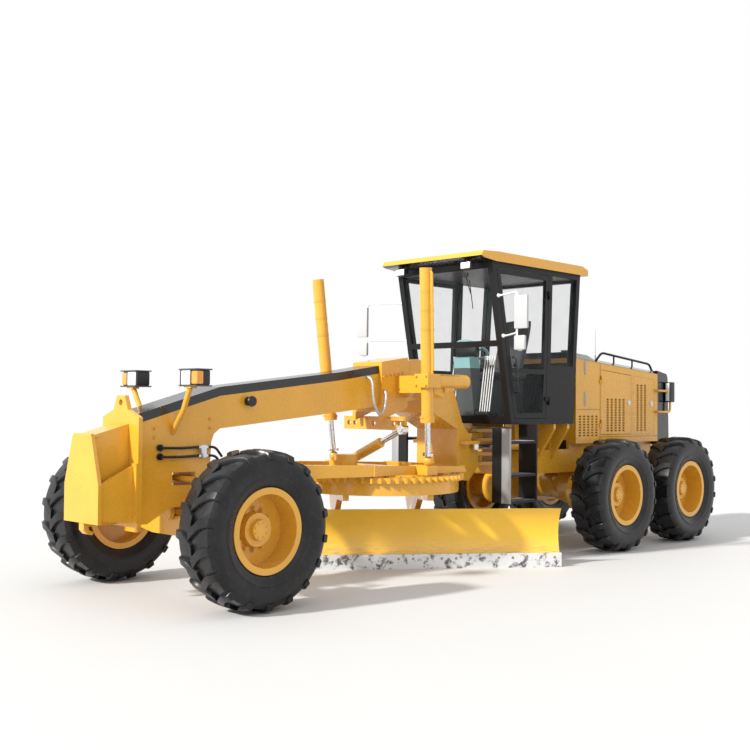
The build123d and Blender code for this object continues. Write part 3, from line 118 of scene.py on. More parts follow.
class Field:
    """A value inside a material. Sums, differences and products of fields add Math nodes."""

    def __init__(self, tree, socket):
        self.tree = tree
        self.socket = socket

    def node(self, kind, settings, sockets, out=0):
        """Adds a node of a kind, with its settings first and then its sockets."""
        made = self.tree.nodes.new(kind)
        for name, value in settings.items():
            setattr(made, name, value)
        for key, value in sockets.items():
            if isinstance(value, Field):
                self.tree.links.new(value.socket, made.inputs[key])
            else:
                made.inputs[key].default_value = value
        return Field(self.tree, made.outputs[out])

    def math(self, operation, *values):
        return self.node("ShaderNodeMath", {"operation": operation}, dict(enumerate(values)))

    def __add__(self, other):
        return self.math("ADD", self, other)

    def __sub__(self, other):
        return self.math("SUBTRACT", self, other)

    def __rsub__(self, other):
        return self.math("SUBTRACT", other, self)

    def __mul__(self, other):
        return self.math("MULTIPLY", self, other)

    def most(self, other):
        return self.math("MAXIMUM", self, other)

    def least(self, other):
        return self.math("MINIMUM", self, other)

    def above(self, level):
        return self.math("GREATER_THAN", self, level)

    def ramp(self, low, high, start=0.0, end=1.0):
        """Goes smoothly from start to end while this value goes from low to high."""
        return self.node("ShaderNodeMapRange", {"interpolation_type": "SMOOTHSTEP"},
                         {0: self, 1: low, 2: high, 3: start, 4: end})

    def noise(self, scale, detail, rough=0.6):
        """A noise of this vector."""
        return self.node("ShaderNodeTexNoise", {},
                         {"Vector": self, "Scale": scale, "Detail": detail, "Roughness": rough})

    def part(self, index):
        """One coordinate of this vector."""
        return self.node("ShaderNodeSeparateXYZ", {}, {0: self}, index)

    def mix(self, first, second):
        """A colour between two, by this value."""
        return self.node("ShaderNodeMix", {"data_type": "RGBA"}, {0: self, 6: first, 7: second}, 2)

    def shades(self, colour, dark, light):
        """A colour between two shades of one, by this value."""
        return self.mix(solid(lighter(colour, dark)), solid(lighter(colour, light)))


SOCKETS = {
    "colour": "Base Color", "roughness": "Roughness", "metallic": "Metallic", "alpha": "Alpha",
    "coat": "Coat Weight", "coat roughness": "Coat Roughness", "sheen": "Sheen Weight",
    "glow": "Emission Strength", "glow colour": "Emission Color", "specular": "Specular IOR Level",
}


class Finish:
    """One material with its shader and the place of each point on the machine, in metres."""

    def __init__(self, name, **settings):
        self.material = bpy.data.materials.new(name)
        self.material.use_nodes = True
        self.tree = self.material.node_tree
        self.shader = self.tree.nodes["Principled BSDF"]
        nodes = self.tree.nodes
        self.place = Field(self.tree, nodes.new("ShaderNodeTexCoord").outputs["Object"])
        self.normal = Field(self.tree, nodes.new("ShaderNodeNewGeometry").outputs["Normal"])
        for socket, value in settings.items():
            self.set(socket.replace("_", " "), value)

    def set(self, socket, value):
        target = self.shader.inputs[SOCKETS[socket]]
        if isinstance(value, Field):
            self.tree.links.new(value.socket, target)
        elif isinstance(value, tuple) and len(value) == 3:
            target.default_value = (*value, 1.0)
        else:
            target.default_value = value

    def bump(self, height, distance, strength):
        made = height.node("ShaderNodeBump", {},
                           {"Height": height, "Distance": distance, "Strength": strength})
        self.tree.links.new(made.socket, self.shader.inputs["Normal"])


def solid(colour):
    return (*colour, 1.0)


def lighter(colour, factor):
    return tuple(min(1.0, c * factor) for c in colour)


# Top edge of the front beam: x of each bend, height there
BEAM_TOP = ((6830.0, 1596.0), (5940.0, 1850.0), (4442.0, 2026.0), (3263.0, 2204.0))
# The dark band along that edge: its height in metres, its ends and how far it reaches sideways
BAND_HEIGHT = 0.082
BAND_REAR, BAND_FRONT, BAND_HALF = 3880.0, 6826.0, 176.0


def beam_top_field(place):
    """The height of the beam's top edge above each point, in metres."""
    x = place.part(0)
    points = [((px - ORIGIN_X) / 1000, pz / 1000) for px, pz in BEAM_TOP]
    slopes = [(b[1] - a[1]) / (b[0] - a[0]) for a, b in zip(points, points[1:])]
    height = (x - points[1][0]) * slopes[1] + points[1][1]
    height = height + (x - points[1][0]).most(0.0) * (slopes[0] - slopes[1])
    return height + (x - points[2][0]).least(0.0) * (slopes[2] - slopes[1])


def paint_finish(name, colour, dust, roughness=0.28, band=False, painted_shade_under=False, coat=0.35, specular=0.5):
    """Gloss machine paint, a little uneven, with dust where it is low or flat, and painted shade on faces
    that point down where asked.
    """
    finish = Finish(name, coat=coat, coat_roughness=0.08, specular=specular)
    place = finish.place
    cloud = place.noise(1.7, 3.0)
    fine = place.noise(38.0, 3.0)
    tone = cloud.ramp(0.3, 0.7).shades(colour, 0.93, 1.05)
    up = finish.normal.part(2).ramp(0.5, 0.95)
    low = place.part(2).ramp(1.0, 0.15)
    dirt = fine.ramp(0.42, 0.72) * (low * 0.75 + up * 0.3) * dust
    tone = dirt.mix(tone, solid(PAINT_DUST))
    if band:
        under = beam_top_field(place) - place.part(2)
        mask = 1.0 - under.above(BAND_HEIGHT)
        mask = mask * place.part(0).above((BAND_REAR - ORIGIN_X) / 1000)
        mask = mask * (1.0 - place.part(0).above((BAND_FRONT - ORIGIN_X) / 1000))
        for side in (1, -1):
            mask = mask * (1.0 - (place.part(1) * side).above((BAND_HALF - side * ORIGIN_Y) / 1000))
        tone = mask.mix(tone, solid(BLACK))
    # Faces that point down are painted black: painted shade, as under the cab roof's overhang.
    if painted_shade_under:
        tone = (1.0 - finish.normal.part(2).above(-0.6)).mix(tone, solid(BLACK))
    finish.set("colour", tone)
    finish.set("roughness", fine.ramp(0.3, 0.8, roughness * 0.85, roughness * 1.2) + dirt * 0.4)
    finish.bump(place.noise(420.0, 1.0), 0.0004, 0.12)
    return finish.material


def steel_finish(name, colour, roughness, metallic, dust=0.0):
    finish = Finish(name, metallic=metallic)
    fine = finish.place.noise(60.0, 5.0)
    tone = fine.ramp(0.35, 0.7).shades(colour, 0.75, 1.25)
    if dust:
        low = finish.place.part(2).ramp(0.9, 0.05)
        tone = (fine.ramp(0.4, 0.7) * low * dust).mix(tone, solid(STEEL_DUST))
    finish.set("colour", tone)
    finish.set("roughness", fine.ramp(0.3, 0.7, roughness * 0.8, roughness * 1.25))
    finish.bump(fine, 0.0006, 0.25)
    return finish.material


def blade_finish(name, colour):
    """Blade paint, scuffed to bare steel in streaks towards the cutting edge."""
    finish = Finish(name, coat=0.3, coat_roughness=0.15)
    place = finish.place
    streak = place.node("ShaderNodeMapping", {"vector_type": "POINT"},
                        {"Vector": place, "Scale": (3.0, 3.0, 26.0)})
    worn = streak.noise(2.4, 6.0, 0.65)
    low = place.part(2).ramp(0.34, 0.1)
    bare = worn.ramp(0.5, 0.62) * low
    tone = place.noise(2.0, 3.0).ramp(0.3, 0.7).shades(colour, 0.95, 1.05)
    tone = (bare * 0.75).mix(tone, solid(BARE_STEEL))
    finish.set("colour", tone)
    finish.set("metallic", bare * 0.6)
    finish.set("roughness", worn.ramp(0.3, 0.7, 0.25, 0.42))
    finish.bump(place.noise(300.0, 1.0), 0.0004, 0.15)
    return finish.material


def mottled_finish(name, light, dark):
    """Rolled steel with patches of scale."""
    finish = Finish(name, metallic=0.35)
    place = finish.place
    patch = place.noise(9.0, 6.0, 0.7)
    finish.set("colour", patch.ramp(0.5, 0.62).mix(solid(light), solid(dark)))
    finish.set("roughness", patch.ramp(0.4, 0.7, 0.28, 0.5))
    finish.bump(place.noise(180.0, 3.0), 0.0005, 0.25)
    return finish.material


def console_finish(name, low, high, height):
    """Moulded plastic, one colour up to a height and another above it."""
    finish = Finish(name, roughness=0.5)
    fine = finish.place.noise(260.0, 3.0)
    tone = finish.place.part(2).above(height / 1000).mix(solid(low), solid(high))
    finish.set("colour", (fine.ramp(0.3, 0.7) * 0.12).mix(tone, (0.5, 0.5, 0.5, 1.0)))
    finish.bump(fine, 0.0004, 0.2)
    return finish.material


def rubber_finish(name, colour, dust):
    finish = Finish(name, sheen=0.02, specular=0.32)
    place = finish.place
    fine = place.noise(140.0, 4.0)
    cloud = place.noise(5.0, 4.0)
    tone = cloud.ramp(0.35, 0.7).shades(colour, 0.8, 1.5)
    tone = (place.noise(24.0, 5.0).ramp(0.5, 0.75) * dust).mix(tone, solid(RUBBER_DUST))
    finish.set("colour", tone)
    finish.set("roughness", cloud.ramp(0.3, 0.75, 0.24, 0.42))
    finish.bump(fine, 0.0008, 0.3)
    return finish.material


def plain_finish(name, colour, roughness, metallic=0.0, coat=0.0):
    """Moulded plastic or plain metal with a fine grain."""
    finish = Finish(name, metallic=metallic, coat=coat)
    fine = finish.place.noise(260.0, 3.0)
    finish.set("colour", fine.ramp(0.3, 0.7).shades(colour, 0.92, 1.08))
    finish.set("roughness", fine.ramp(0.3, 0.7, roughness * 0.88, roughness * 1.12))
    finish.bump(fine, 0.0004, 0.2)
    return finish.material


def glass_finish(name, tint, alpha):
    finish = Finish(name, roughness=0.03, coat=1.0, coat_roughness=0.02)
    smear = finish.place.noise(6.0, 4.0)
    finish.set("colour", smear.ramp(0.3, 0.7).shades(tint, 1.0, 1.25))
    finish.set("alpha", smear.ramp(0.35, 0.75, alpha * 0.9, alpha * 1.1))
    finish.material.surface_render_method = "BLENDED"
    return finish.material


def lens_finish(name, colour, glow):
    """Lamp glass with a fluted pattern."""
    finish = Finish(name, roughness=0.12, coat=1.0, coat_roughness=0.03, glow=glow)
    flutes = finish.place.node("ShaderNodeTexWave", {"bands_direction": "Y"},
                               {"Vector": finish.place, "Scale": 60.0})
    finish.set("colour", flutes.ramp(0.2, 0.8).shades(colour, 0.8, 1.0))
    finish.set("glow colour", colour)
    finish.bump(flutes, 0.001, 0.4)
    return finish.material


def weave_finish(name, colour):
    finish = Finish(name, roughness=0.85, sheen=0.3)
    weave = finish.place.node("ShaderNodeTexChecker", {}, {"Vector": finish.place, "Scale": 420.0}, 1)
    fine = finish.place.noise(90.0, 3.0)
    finish.set("colour", (weave * 0.4 + fine * 0.5).shades(colour, 0.7, 1.5))
    finish.bump(weave, 0.0006, 0.4)
    return finish.material


FINISHES = {}


def make_finishes(paint):
    """Every finish of the machine, by its plain name."""
    body, trim = tuple(paint.body), tuple(paint.trim)
    FINISHES.update({
        "paint": paint_finish("machine_paint", body, paint.dust),
        "beam_paint": paint_finish("beam_paint", body, paint.dust, band=True),
        # Roof paint, with painted shade on its faces that point down.
        "roof_paint_and_shade": paint_finish("roof_paint_and_shade", body, paint.dust, painted_shade_under=True),
        "blade_paint": blade_finish("blade_paint", (0.78, 0.45, 0.025)),
        "trim": paint_finish("trim_paint", trim, paint.dust * 0.2, 0.42, coat=0.05, specular=0.25),
        "cover": paint_finish("hood_cover_paint", (0.008, 0.008, 0.01), 0.05, 0.16, coat=0.6, specular=0.4),
        "rubber": rubber_finish("tyre_rubber", tuple(paint.tyre), 0.12),
        "hose": rubber_finish("hose_rubber", (0.009, 0.009, 0.01), 0.03),
        "braid": steel_finish("braided_hose", (0.5, 0.51, 0.53), 0.38, 0.5),
        "chrome": steel_finish("chrome_rod", (0.75, 0.75, 0.77), 0.1, 1.0),
        "steel": steel_finish("dark_steel", (0.07, 0.07, 0.072), 0.42, 0.8, 0.5),
        "edge_steel": mottled_finish("edge_steel", (0.66, 0.66, 0.66), (0.1, 0.1, 0.1)),
        "bolt": steel_finish("bolt_steel", (0.32, 0.3, 0.26), 0.35, 0.9),
        "plastic": plain_finish("black_plastic", (0.008, 0.008, 0.009), 0.42),
        "console": console_finish("console_plastic", (0.03, 0.04, 0.042), (0.2, 0.42, 0.44), 2140.0),
        "silver": plain_finish("silver_tube", (0.62, 0.63, 0.64), 0.25, 0.9),
        "pale": plain_finish("pale_housing", (0.42, 0.43, 0.44), 0.35, 0.0, 0.3),
        "visor": plain_finish("lamp_visor", (0.07, 0.075, 0.08), 0.35, 0.3),
        "white": plain_finish("white_tube", (0.82, 0.82, 0.81), 0.3, 0.0, 0.4),
        "grey": plain_finish("grey_steps", (0.32, 0.33, 0.34), 0.45, 0.5),
        "glass": glass_finish("window_glass", (0.03, 0.045, 0.05), 0.07),
        "mirror": steel_finish("mirror_glass", (0.8, 0.82, 0.84), 0.04, 1.0),
        "lens": lens_finish("lamp_lens", (0.92, 0.93, 0.95), 0.25),
        "red_lens": lens_finish("red_lens", (0.55, 0.02, 0.015), 0.05),
        "amber_lens": lens_finish("amber_lens", (0.85, 0.3, 0.02), 0.05),
        "seat": weave_finish("seat_cloth", (0.035, 0.036, 0.04)),
        "engine": steel_finish("engine_grime", (0.03, 0.03, 0.03), 0.6, 0.4),
    })


# Mesh building, in millimetres

TUBE_SIDES = 12
BEND_STEPS = 6


def around(count, shift=0.0):
    """The cosine and sine of evenly spaced angles of a circle."""
    angles = [2 * math.pi * (k + shift) / count for k in range(count)]
    return [(math.cos(a), math.sin(a)) for a in angles]


def straight(line, place):
    """The value at a place of a line through two points, each a place with its value."""
    (a, low), (b, high) = line
    return low + (high - low) * (place - a) / (b - a)


class Shape:
    """Collects the faces of one piece."""

    def __init__(self):
        self.mesh = bmesh.new()

    def soften(self, verts, bevel):
        """Rounds the edges between some points."""
        if bevel:
            edges = list({e for v in verts for e in v.link_edges})
            bmesh.ops.bevel(self.mesh, geom=edges, offset=bevel, segments=2, affect="EDGES", profile=0.6)

    def block(self, corner, opposite, bevel=0.0):
        """A box between two opposite corners, its edges rounded."""
        middle = (Vector(corner) + Vector(opposite)) / 2
        size = [abs(c) for c in Vector(opposite) - Vector(corner)]
        place = Matrix.Translation(middle) @ Matrix.Diagonal((*size, 1))
        made = bmesh.ops.create_cube(self.mesh, size=1, matrix=place)
        self.soften(made["verts"], bevel)

    def rod(self, start, end, radius, sides=20, tip=None):
        start, end = Vector(start), Vector(end)
        along = end - start
        turn = along.to_track_quat("Z", "Y").to_matrix().to_4x4()
        bmesh.ops.create_cone(self.mesh, cap_ends=True, segments=sides, radius1=radius,
                              radius2=radius if tip is None else tip, depth=along.length,
                              matrix=Matrix.Translation((start + end) / 2) @ turn)

    def bolt(self, place, out, size, washer=True):
        """A hexagon head on its washer, pointing out."""
        place, out = Vector(place), Vector(out).normalized()
        if washer:
            self.rod(place, place + out * size * 0.18, size * 0.78, 16)
        self.rod(place, place + out * size * 0.75, size * 0.55, 6, size * 0.5)

    def prism(self, outline, start, end, bevel):
        """A flat outline carried from one place to another: outline holds points at start."""
        shift = Vector(end) - Vector(start)
        first = [self.mesh.verts.new(Vector(p) + Vector(start)) for p in outline]
        face = self.mesh.faces.new(first)
        made = bmesh.ops.extrude_face_region(self.mesh, geom=[face])
        verts = [g for g in made["geom"] if isinstance(g, bmesh.types.BMVert)]
        bmesh.ops.translate(self.mesh, verts=verts, vec=shift)
        self.soften(first + verts, bevel)

    def rings(self, rings, closed=False):
        """Joins loops of points, one after another."""
        loops = [[self.mesh.verts.new(p) for p in ring] for ring in rings]
        pairs = list(zip(loops, loops[1:]))
        if closed:
            pairs.append((loops[-1], loops[0]))
        for a, b in pairs:
            for i in range(len(a)):
                j = (i + 1) % len(a)
                self.mesh.faces.new((a[i], a[j], b[j], b[i]))
        if not closed:
            self.mesh.faces.new(list(reversed(loops[0])))
            self.mesh.faces.new(loops[-1])

    def tube(self, points, radius):
        """A bent round tube."""
        points = [Vector(p) for p in points]
        rings = []
        side = None
        for i, point in enumerate(points):
            before = points[max(i - 1, 0)]
            after = points[min(i + 1, len(points) - 1)]
            along = (after - before).normalized()
            if side is None:
                side = along.orthogonal().normalized()
            side = (side - along * side.dot(along)).normalized()
            other = along.cross(side)
            rings.append([point + (side * c + other * s) * radius for c, s in around(TUBE_SIDES)])
        self.rings(rings)

    def lathe(self, profile, centre, outward, steps):
        """A ring about the Y axis, from (radius, offset) points."""
        centre = Vector(centre)
        self.rings([[centre + Vector((r * c, offset * outward, r * s)) for r, offset in profile]
                    for c, s in around(steps)], closed=True)

    def piece(self, name, body, slot, finish, smooth=35.0, replaces=()):
        """The finished object, in metres, riding on a body."""
        bmesh.ops.recalc_face_normals(self.mesh, faces=self.mesh.faces[:])
        for vert in self.mesh.verts:
            vert.co = metres(vert.co)
        data = bpy.data.meshes.new(name)
        self.mesh.to_mesh(data)
        self.mesh.free()
        data.materials.append(FINISHES[finish])
        data.shade_smooth()
        data.set_sharp_from_angle(angle=math.radians(smooth))
        made = bpy.data.objects.new(name, data)
        bpy.context.scene.collection.objects.link(made)
        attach(made, body)
        if replaces:
            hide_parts(*replaces)
        return made


def boxes(name, body, slot, finish, rows, **more):
    """A piece of boxes, each from two opposite corners and its bevel."""
    shape = Shape()
    for row in rows:
        shape.block(*row)
    shape.piece(name, body, slot, finish, **more)


def rounded(points, radius):
    """The points of a rigid tube's line, with its corners bent to a radius."""
    points = [Vector(p) for p in points]
    line = [points[0]]
    for a, b, c in zip(points, points[1:], points[2:]):
        into, away = (a - b), (c - b)
        reach = min(radius, into.length * 0.48, away.length * 0.48)
        start, end = b + into.normalized() * reach, b + away.normalized() * reach
        for k in range(BEND_STEPS + 1):
            t = k / BEND_STEPS
            line.append(start.lerp(b, t).lerp(b.lerp(end, t), t))
    line.append(points[-1])
    return line


# Tyres and wheels

TYRE_PROFILE = (
    # radius, distance from the wheel plane, over the carcass under the lugs
    (317.4, 165.0), (340.0, 165.6), (358.0, 166.0), (372.0, 181.0), (400.0, 199.0), (430.0, 205.0),
    (436.0, 210.5), (446.0, 211.0), (452.0, 207.0), (500.0, 216.0), (545.0, 217.0), (575.0, 212.0),
    (602.0, 203.0), (622.0, 186.0), (630.0, 120.0), (632.0, 0.0),
)
LUG_LINE = (
    # distance from the middle, how far the lug has swept back, tip radius
    (-16.0, 0.0, TYRE_RADIUS), (30.0, 40.0, TYRE_RADIUS), (80.0, 80.0, 663.0), (120.0, 102.0, 660.0),
    (165.0, 112.0, 654.0), (200.0, 114.0, 641.0), (217.0, 114.0, 612.0), (221.0, 114.0, 584.0),
)
SHOULDER = 205.0
LUG_LEAN = 7.0
LUG_CHAMFER = 4.0


def add_lugs(shape, centre, outward, tread):
    """Bars that sweep from the middle of the tread out over each shoulder."""
    pitch = 2 * math.pi / tread.lugs
    centre = Vector(centre)
    for hand in (1, -1):
        for k in range(tread.lugs):
            start = pitch * (k + (0.5 if hand < 0 else 0.0))

            def point(across, back, radius):
                a = start + back / TYRE_RADIUS
                return centre + Vector((radius * math.cos(a), across * hand * outward, radius * math.sin(a)))

            sections = []
            for across, back, radius in LUG_LINE:
                low = radius - tread.depth * (1.0 if across < SHOULDER else 0.8)
                half = tread.bar / 2 * (1.0 if across < 150 else 0.86)
                slope = half - LUG_LEAN
                if across < SHOULDER:
                    foot, edge = (across, half, low), (across, slope, radius - LUG_CHAMFER)
                else:
                    # Over the shoulder the bar stands out sideways instead of up
                    foot = (203.0 if across < 220 else 208.0, half, radius)
                    edge = (across - LUG_CHAMFER, slope, radius)
                corners = (foot, edge, (across, slope - LUG_CHAMFER, radius))
                sections.append([point(y, back - reach, r) for y, reach, r in corners]
                                + [point(y, back + reach, r) for y, reach, r in reversed(corners)])
            shape.rings(sections)


class GRADER_OT_tyres(bpy.types.Operator):
    """Six tyres with bars on the tread, ribs on the wall and a bead at the rim."""
    bl_idname = "grader.tyres"
    bl_label = "Tyres"

    def execute(self, context):
        tread = context.scene.grader_tread
        profile = list(TYRE_PROFILE) + [(r, -o) for r, o in reversed(TYRE_PROFILE[:-1])]
        for name, x, side in WHEELS:
            centre = (x, side * TREAD / 2, AXLE_Z)
            shape = Shape()
            shape.lathe(profile, centre, side, 96)
            add_lugs(shape, centre, side, tread)
            shape.piece("tyre_" + name + "_tread", "wheel_" + name, "tyre_rubber", "rubber", 32,
                        replaces=("tyre_" + name,))
        return {"FINISHED"}


NUT_CIRCLE = 172.0
NUTS = 12
DISC_FACE = -30.0
CAP_FACE = 76.0


class GRADER_OT_hubs(bpy.types.Operator):
    """Wheel nuts, the hub cap's bolts, the rim's lock ring and the valve."""
    bl_idname = "grader.hubs"
    bl_label = "Wheel hubs"

    def execute(self, context):
        for name, x, side in WHEELS:
            y = side * TREAD / 2
            hub, out = Vector((x, y, AXLE_Z)), Vector((0, side, 0))
            shape = Shape()
            for c, s in around(NUTS):
                spot = hub + Vector((NUT_CIRCLE * c, side * DISC_FACE, NUT_CIRCLE * s))
                shape.bolt(spot, out, 34)
                shape.rod(spot + out * 22, spot + out * 34, 9, 12)
            for c, s in around(8, 0.5):
                shape.bolt(hub + Vector((60 * c, side * (CAP_FACE - 1), 60 * s)), out, 13, washer=False)
            shape.lathe([(318, 150), (334, 156), (334, 162), (322, 166), (312, 160)], hub, side, 72)
            shape.lathe([(70, CAP_FACE - 2), (82, CAP_FACE - 2), (80, CAP_FACE + 3), (72, CAP_FACE + 3)],
                        hub, side, 40)
            # Valve of the tyre
            shape.rod(hub + Vector((40, side * DISC_FACE, -270)), hub + Vector((20, side * 60, -286)), 6, 10)
            shape.piece("hub_details_" + name, "wheel_" + name, "yellow_paint", "paint")
        return {"FINISHED"}


# Hood

def perforated(shape, x0, x1, z0, z1, y, thickness, grille):
    """A plate with a column of oblong holes, at a distance y from the centre plane."""
    rows = max(1, int((z1 - z0) / grille.pitch))
    step_z = (z1 - z0) / rows
    middle = (x0 + x1) / 2
    xs, zs = [x0, middle - grille.hole_width / 2, middle + grille.hole_width / 2], [z0]
    for r in range(rows):
        middle = z0 + step_z * (r + 0.5)
        zs += [middle - grille.hole_height / 2, middle + grille.hole_height / 2]
    xs.append(x1)
    zs.append(z1)
    mesh = shape.mesh
    verts = {(i, j): mesh.verts.new((x, y, z)) for i, x in enumerate(xs) for j, z in enumerate(zs)}
    faces = []
    for i in range(len(xs) - 1):
        for j in range(len(zs) - 1):
            if i % 2 == 1 and j % 2 == 1:
                continue
            faces.append(mesh.faces.new((verts[i, j], verts[i + 1, j], verts[i + 1, j + 1], verts[i, j + 1])))
    bmesh.ops.recalc_face_normals(mesh, faces=faces)
    bmesh.ops.solidify(mesh, geom=faces, thickness=thickness)


GRILLES = (
    # body, name, centre of the first slot, step, slots, bottom, top
    ("hood_door", "door", 70.0, -95.0, 5, 1385.0, 1815.0),
    ("rear_frame", "panel", -660.0, -95.0, 3, 1385.0, 2010.0),
    ("rear_frame", "front", 700.0, -92.0, 5, 1330.0, 1600.0),
)
SLOT_SHARE = 0.55
HOOD_SIDE = 550.0
# x and height, at the rear and the front of the hood's top edge and of the rail over it
HOOD_TOP = ((-1177.0, 2160.0), (790.0, 2303.0))
RAIL = ((-1040.0, 2290.0), (140.0, 2396.0))


class GRADER_OT_hood(bpy.types.Operator):
    """Grilles, latches, plates, seams, handles, top rails, antenna, louvres and rear lamps of the hood."""
    bl_idname = "grader.hood"
    bl_label = "Hood"

    def execute(self, context):
        grille = context.scene.grader_grille
        for side_name, side in SIDES:
            for body, name, first, step, slots, low, high in GRILLES:
                shape = Shape()
                half = abs(step) * SLOT_SHARE / 2 - 0.3
                y = side * (HOOD_SIDE - 3)
                for k in range(slots):
                    x = first + step * k
                    perforated(shape, x - half, x + half, low + 0.3, high - 0.3, y, 3, grille)
                rider = body + "_" + side_name if body == "hood_door" else body
                shape.piece(f"grille_{name}_{side_name}", rider, "yellow_paint", "paint")
            self.latches(side_name, side)
            self.side_fittings(side_name, side)
        self.rail()
        self.rear()
        return {"FINISHED"}

    def latches(self, side_name, side):
        y = side * HOOD_SIDE
        for name, body, x, z in (("door", "hood_door_" + side_name, -440.0, 1759.0),
                                 ("panel", "rear_frame", -1010.0, 1753.0)):
            shape = Shape()
            shape.rod((x, y - side * 2, z), (x, y + side * 7, z), 36, 32)
            shape.rod((x, y + side * 6, z), (x, y + side * 9, z), 27, 32, 24)
            shape.block((x - 20, y + side * 8, z - 7), (x + 20, y + side * 14, z + 7), 2)
            shape.piece(f"latch_{name}_{side_name}", body, "ladder_metal", "silver")

    def side_fittings(self, side_name, side):
        y = side * HOOD_SIDE
        slots = Shape()
        for z0, z1 in ((2097.0, 2283.0), (1707.0, 1897.0)):
            slots.prism([(571, 0, z0 + 22), (593, 0, z0), (615, 0, z0 + 22), (615, 0, z1 - 22), (593, 0, z1),
                         (571, 0, z1 - 22)], (0, y - side * 2, 0), (0, y + side * 5, 0), 1.5)
        slots.piece("oblong_plates_" + side_name, "rear_frame", "ladder_metal", "grey")
        seams = ((248, 252, 1300, straight(HOOD_TOP, 250) - 6), (250, 788, 1668, 1672),
                 (-1170, 248, 1322, 1326))
        boxes("hood_seams_" + side_name, "rear_frame", "black_paint", "trim",
              [((x0, y - 2, z0), (x1, y + 2, z1)) for x0, x1, z0, z1 in seams])
        boxes("hood_front_strip_" + side_name, "rear_frame", "yellow_paint", "paint",
              [((786, y - side * 8, 1290), (800, y + side * 6, 2300), 4)])
        handle = Shape()
        y, out = side * 551, side * 600
        handle.tube(rounded([(-1120, y, 1931), (-1124, out, 1931), (-1430, out, 1931),
                             (-1430, out, 1646), (-1124, out, 1646), (-1120, y, 1646)], 60), 16)
        handle.piece("rear_handle_" + side_name, "rear_frame", "yellow_paint", "paint")

    def rail(self):
        (rear, rear_top), (front, front_top) = RAIL
        for side_name, side in SIDES:
            shape = Shape()
            y = side * 500
            shape.tube(rounded([(257, y, 2300), (front, y, front_top), (rear, y, rear_top),
                                (-1110, y, 2205)], 60), 15)
            for x in (-150.0, -600.0):
                shape.rod((x, y, straight(HOOD_TOP, x) + 30), (x, y, straight(RAIL, x)), 11)
            shape.piece("top_rail_" + side_name, "rear_frame", "black_paint", "trim")
        shape = Shape()
        top = straight(HOOD_TOP, -30)
        shape.rod((-30, 300, top + 40), (-30, 300, top + 130), 9, 10)
        shape.rod((-30, 300, top + 120), (-30, 300, 2700), 4, 8, 2)
        shape.piece("antenna", "rear_frame", "ladder_metal", "silver")

    def rear(self):
        slats = [((-1490, -430, z), (-1466, 430, z + 22), 3) for z in range(1330, 2085, 58)]
        posts = [((-1490, y - 16, 1290), (-1462, y + 16, 2140), 4) for y in (-440, 440)]
        boxes("radiator_louvres", "rear_frame", "black_paint", "trim", slats + posts)
        for side_name, side in SIDES:
            boxes("rear_lamp_box_" + side_name, "rear_frame", "black_paint", "plastic",
                  [((-1486, side * 560, 1779), (-1360, side * 640, 2055), 12)])
            boxes("rear_lens_" + side_name, "rear_frame", "black_paint", "red_lens",
                  [((-1489, side * 572, z), (-1482, side * 628, z + 60), 3) for z in (1800, 1890, 1980)])
            boxes("rear_lamp_face_" + side_name, "rear_frame", "black_paint", "white",
                  [((-1362, side * 574, 1796), (-1355, side * 626, 2038), 3)])


# Cab

CAB_HALF = 710.0
# Height and x, at the floor and the eaves, of the front pillar's face
FRONT_PILLAR = ((1498.0, 2303.0), (3290.0, 2670.0))
# Bottom, top and width of each mirror
MIRRORS = ((2520.0, 2880.0, 172.0), (2296.0, 2452.0, 142.0))


def pillar(z):
    """How far forward the front pillar's face is at a height."""
    return straight(FRONT_PILLAR, z)


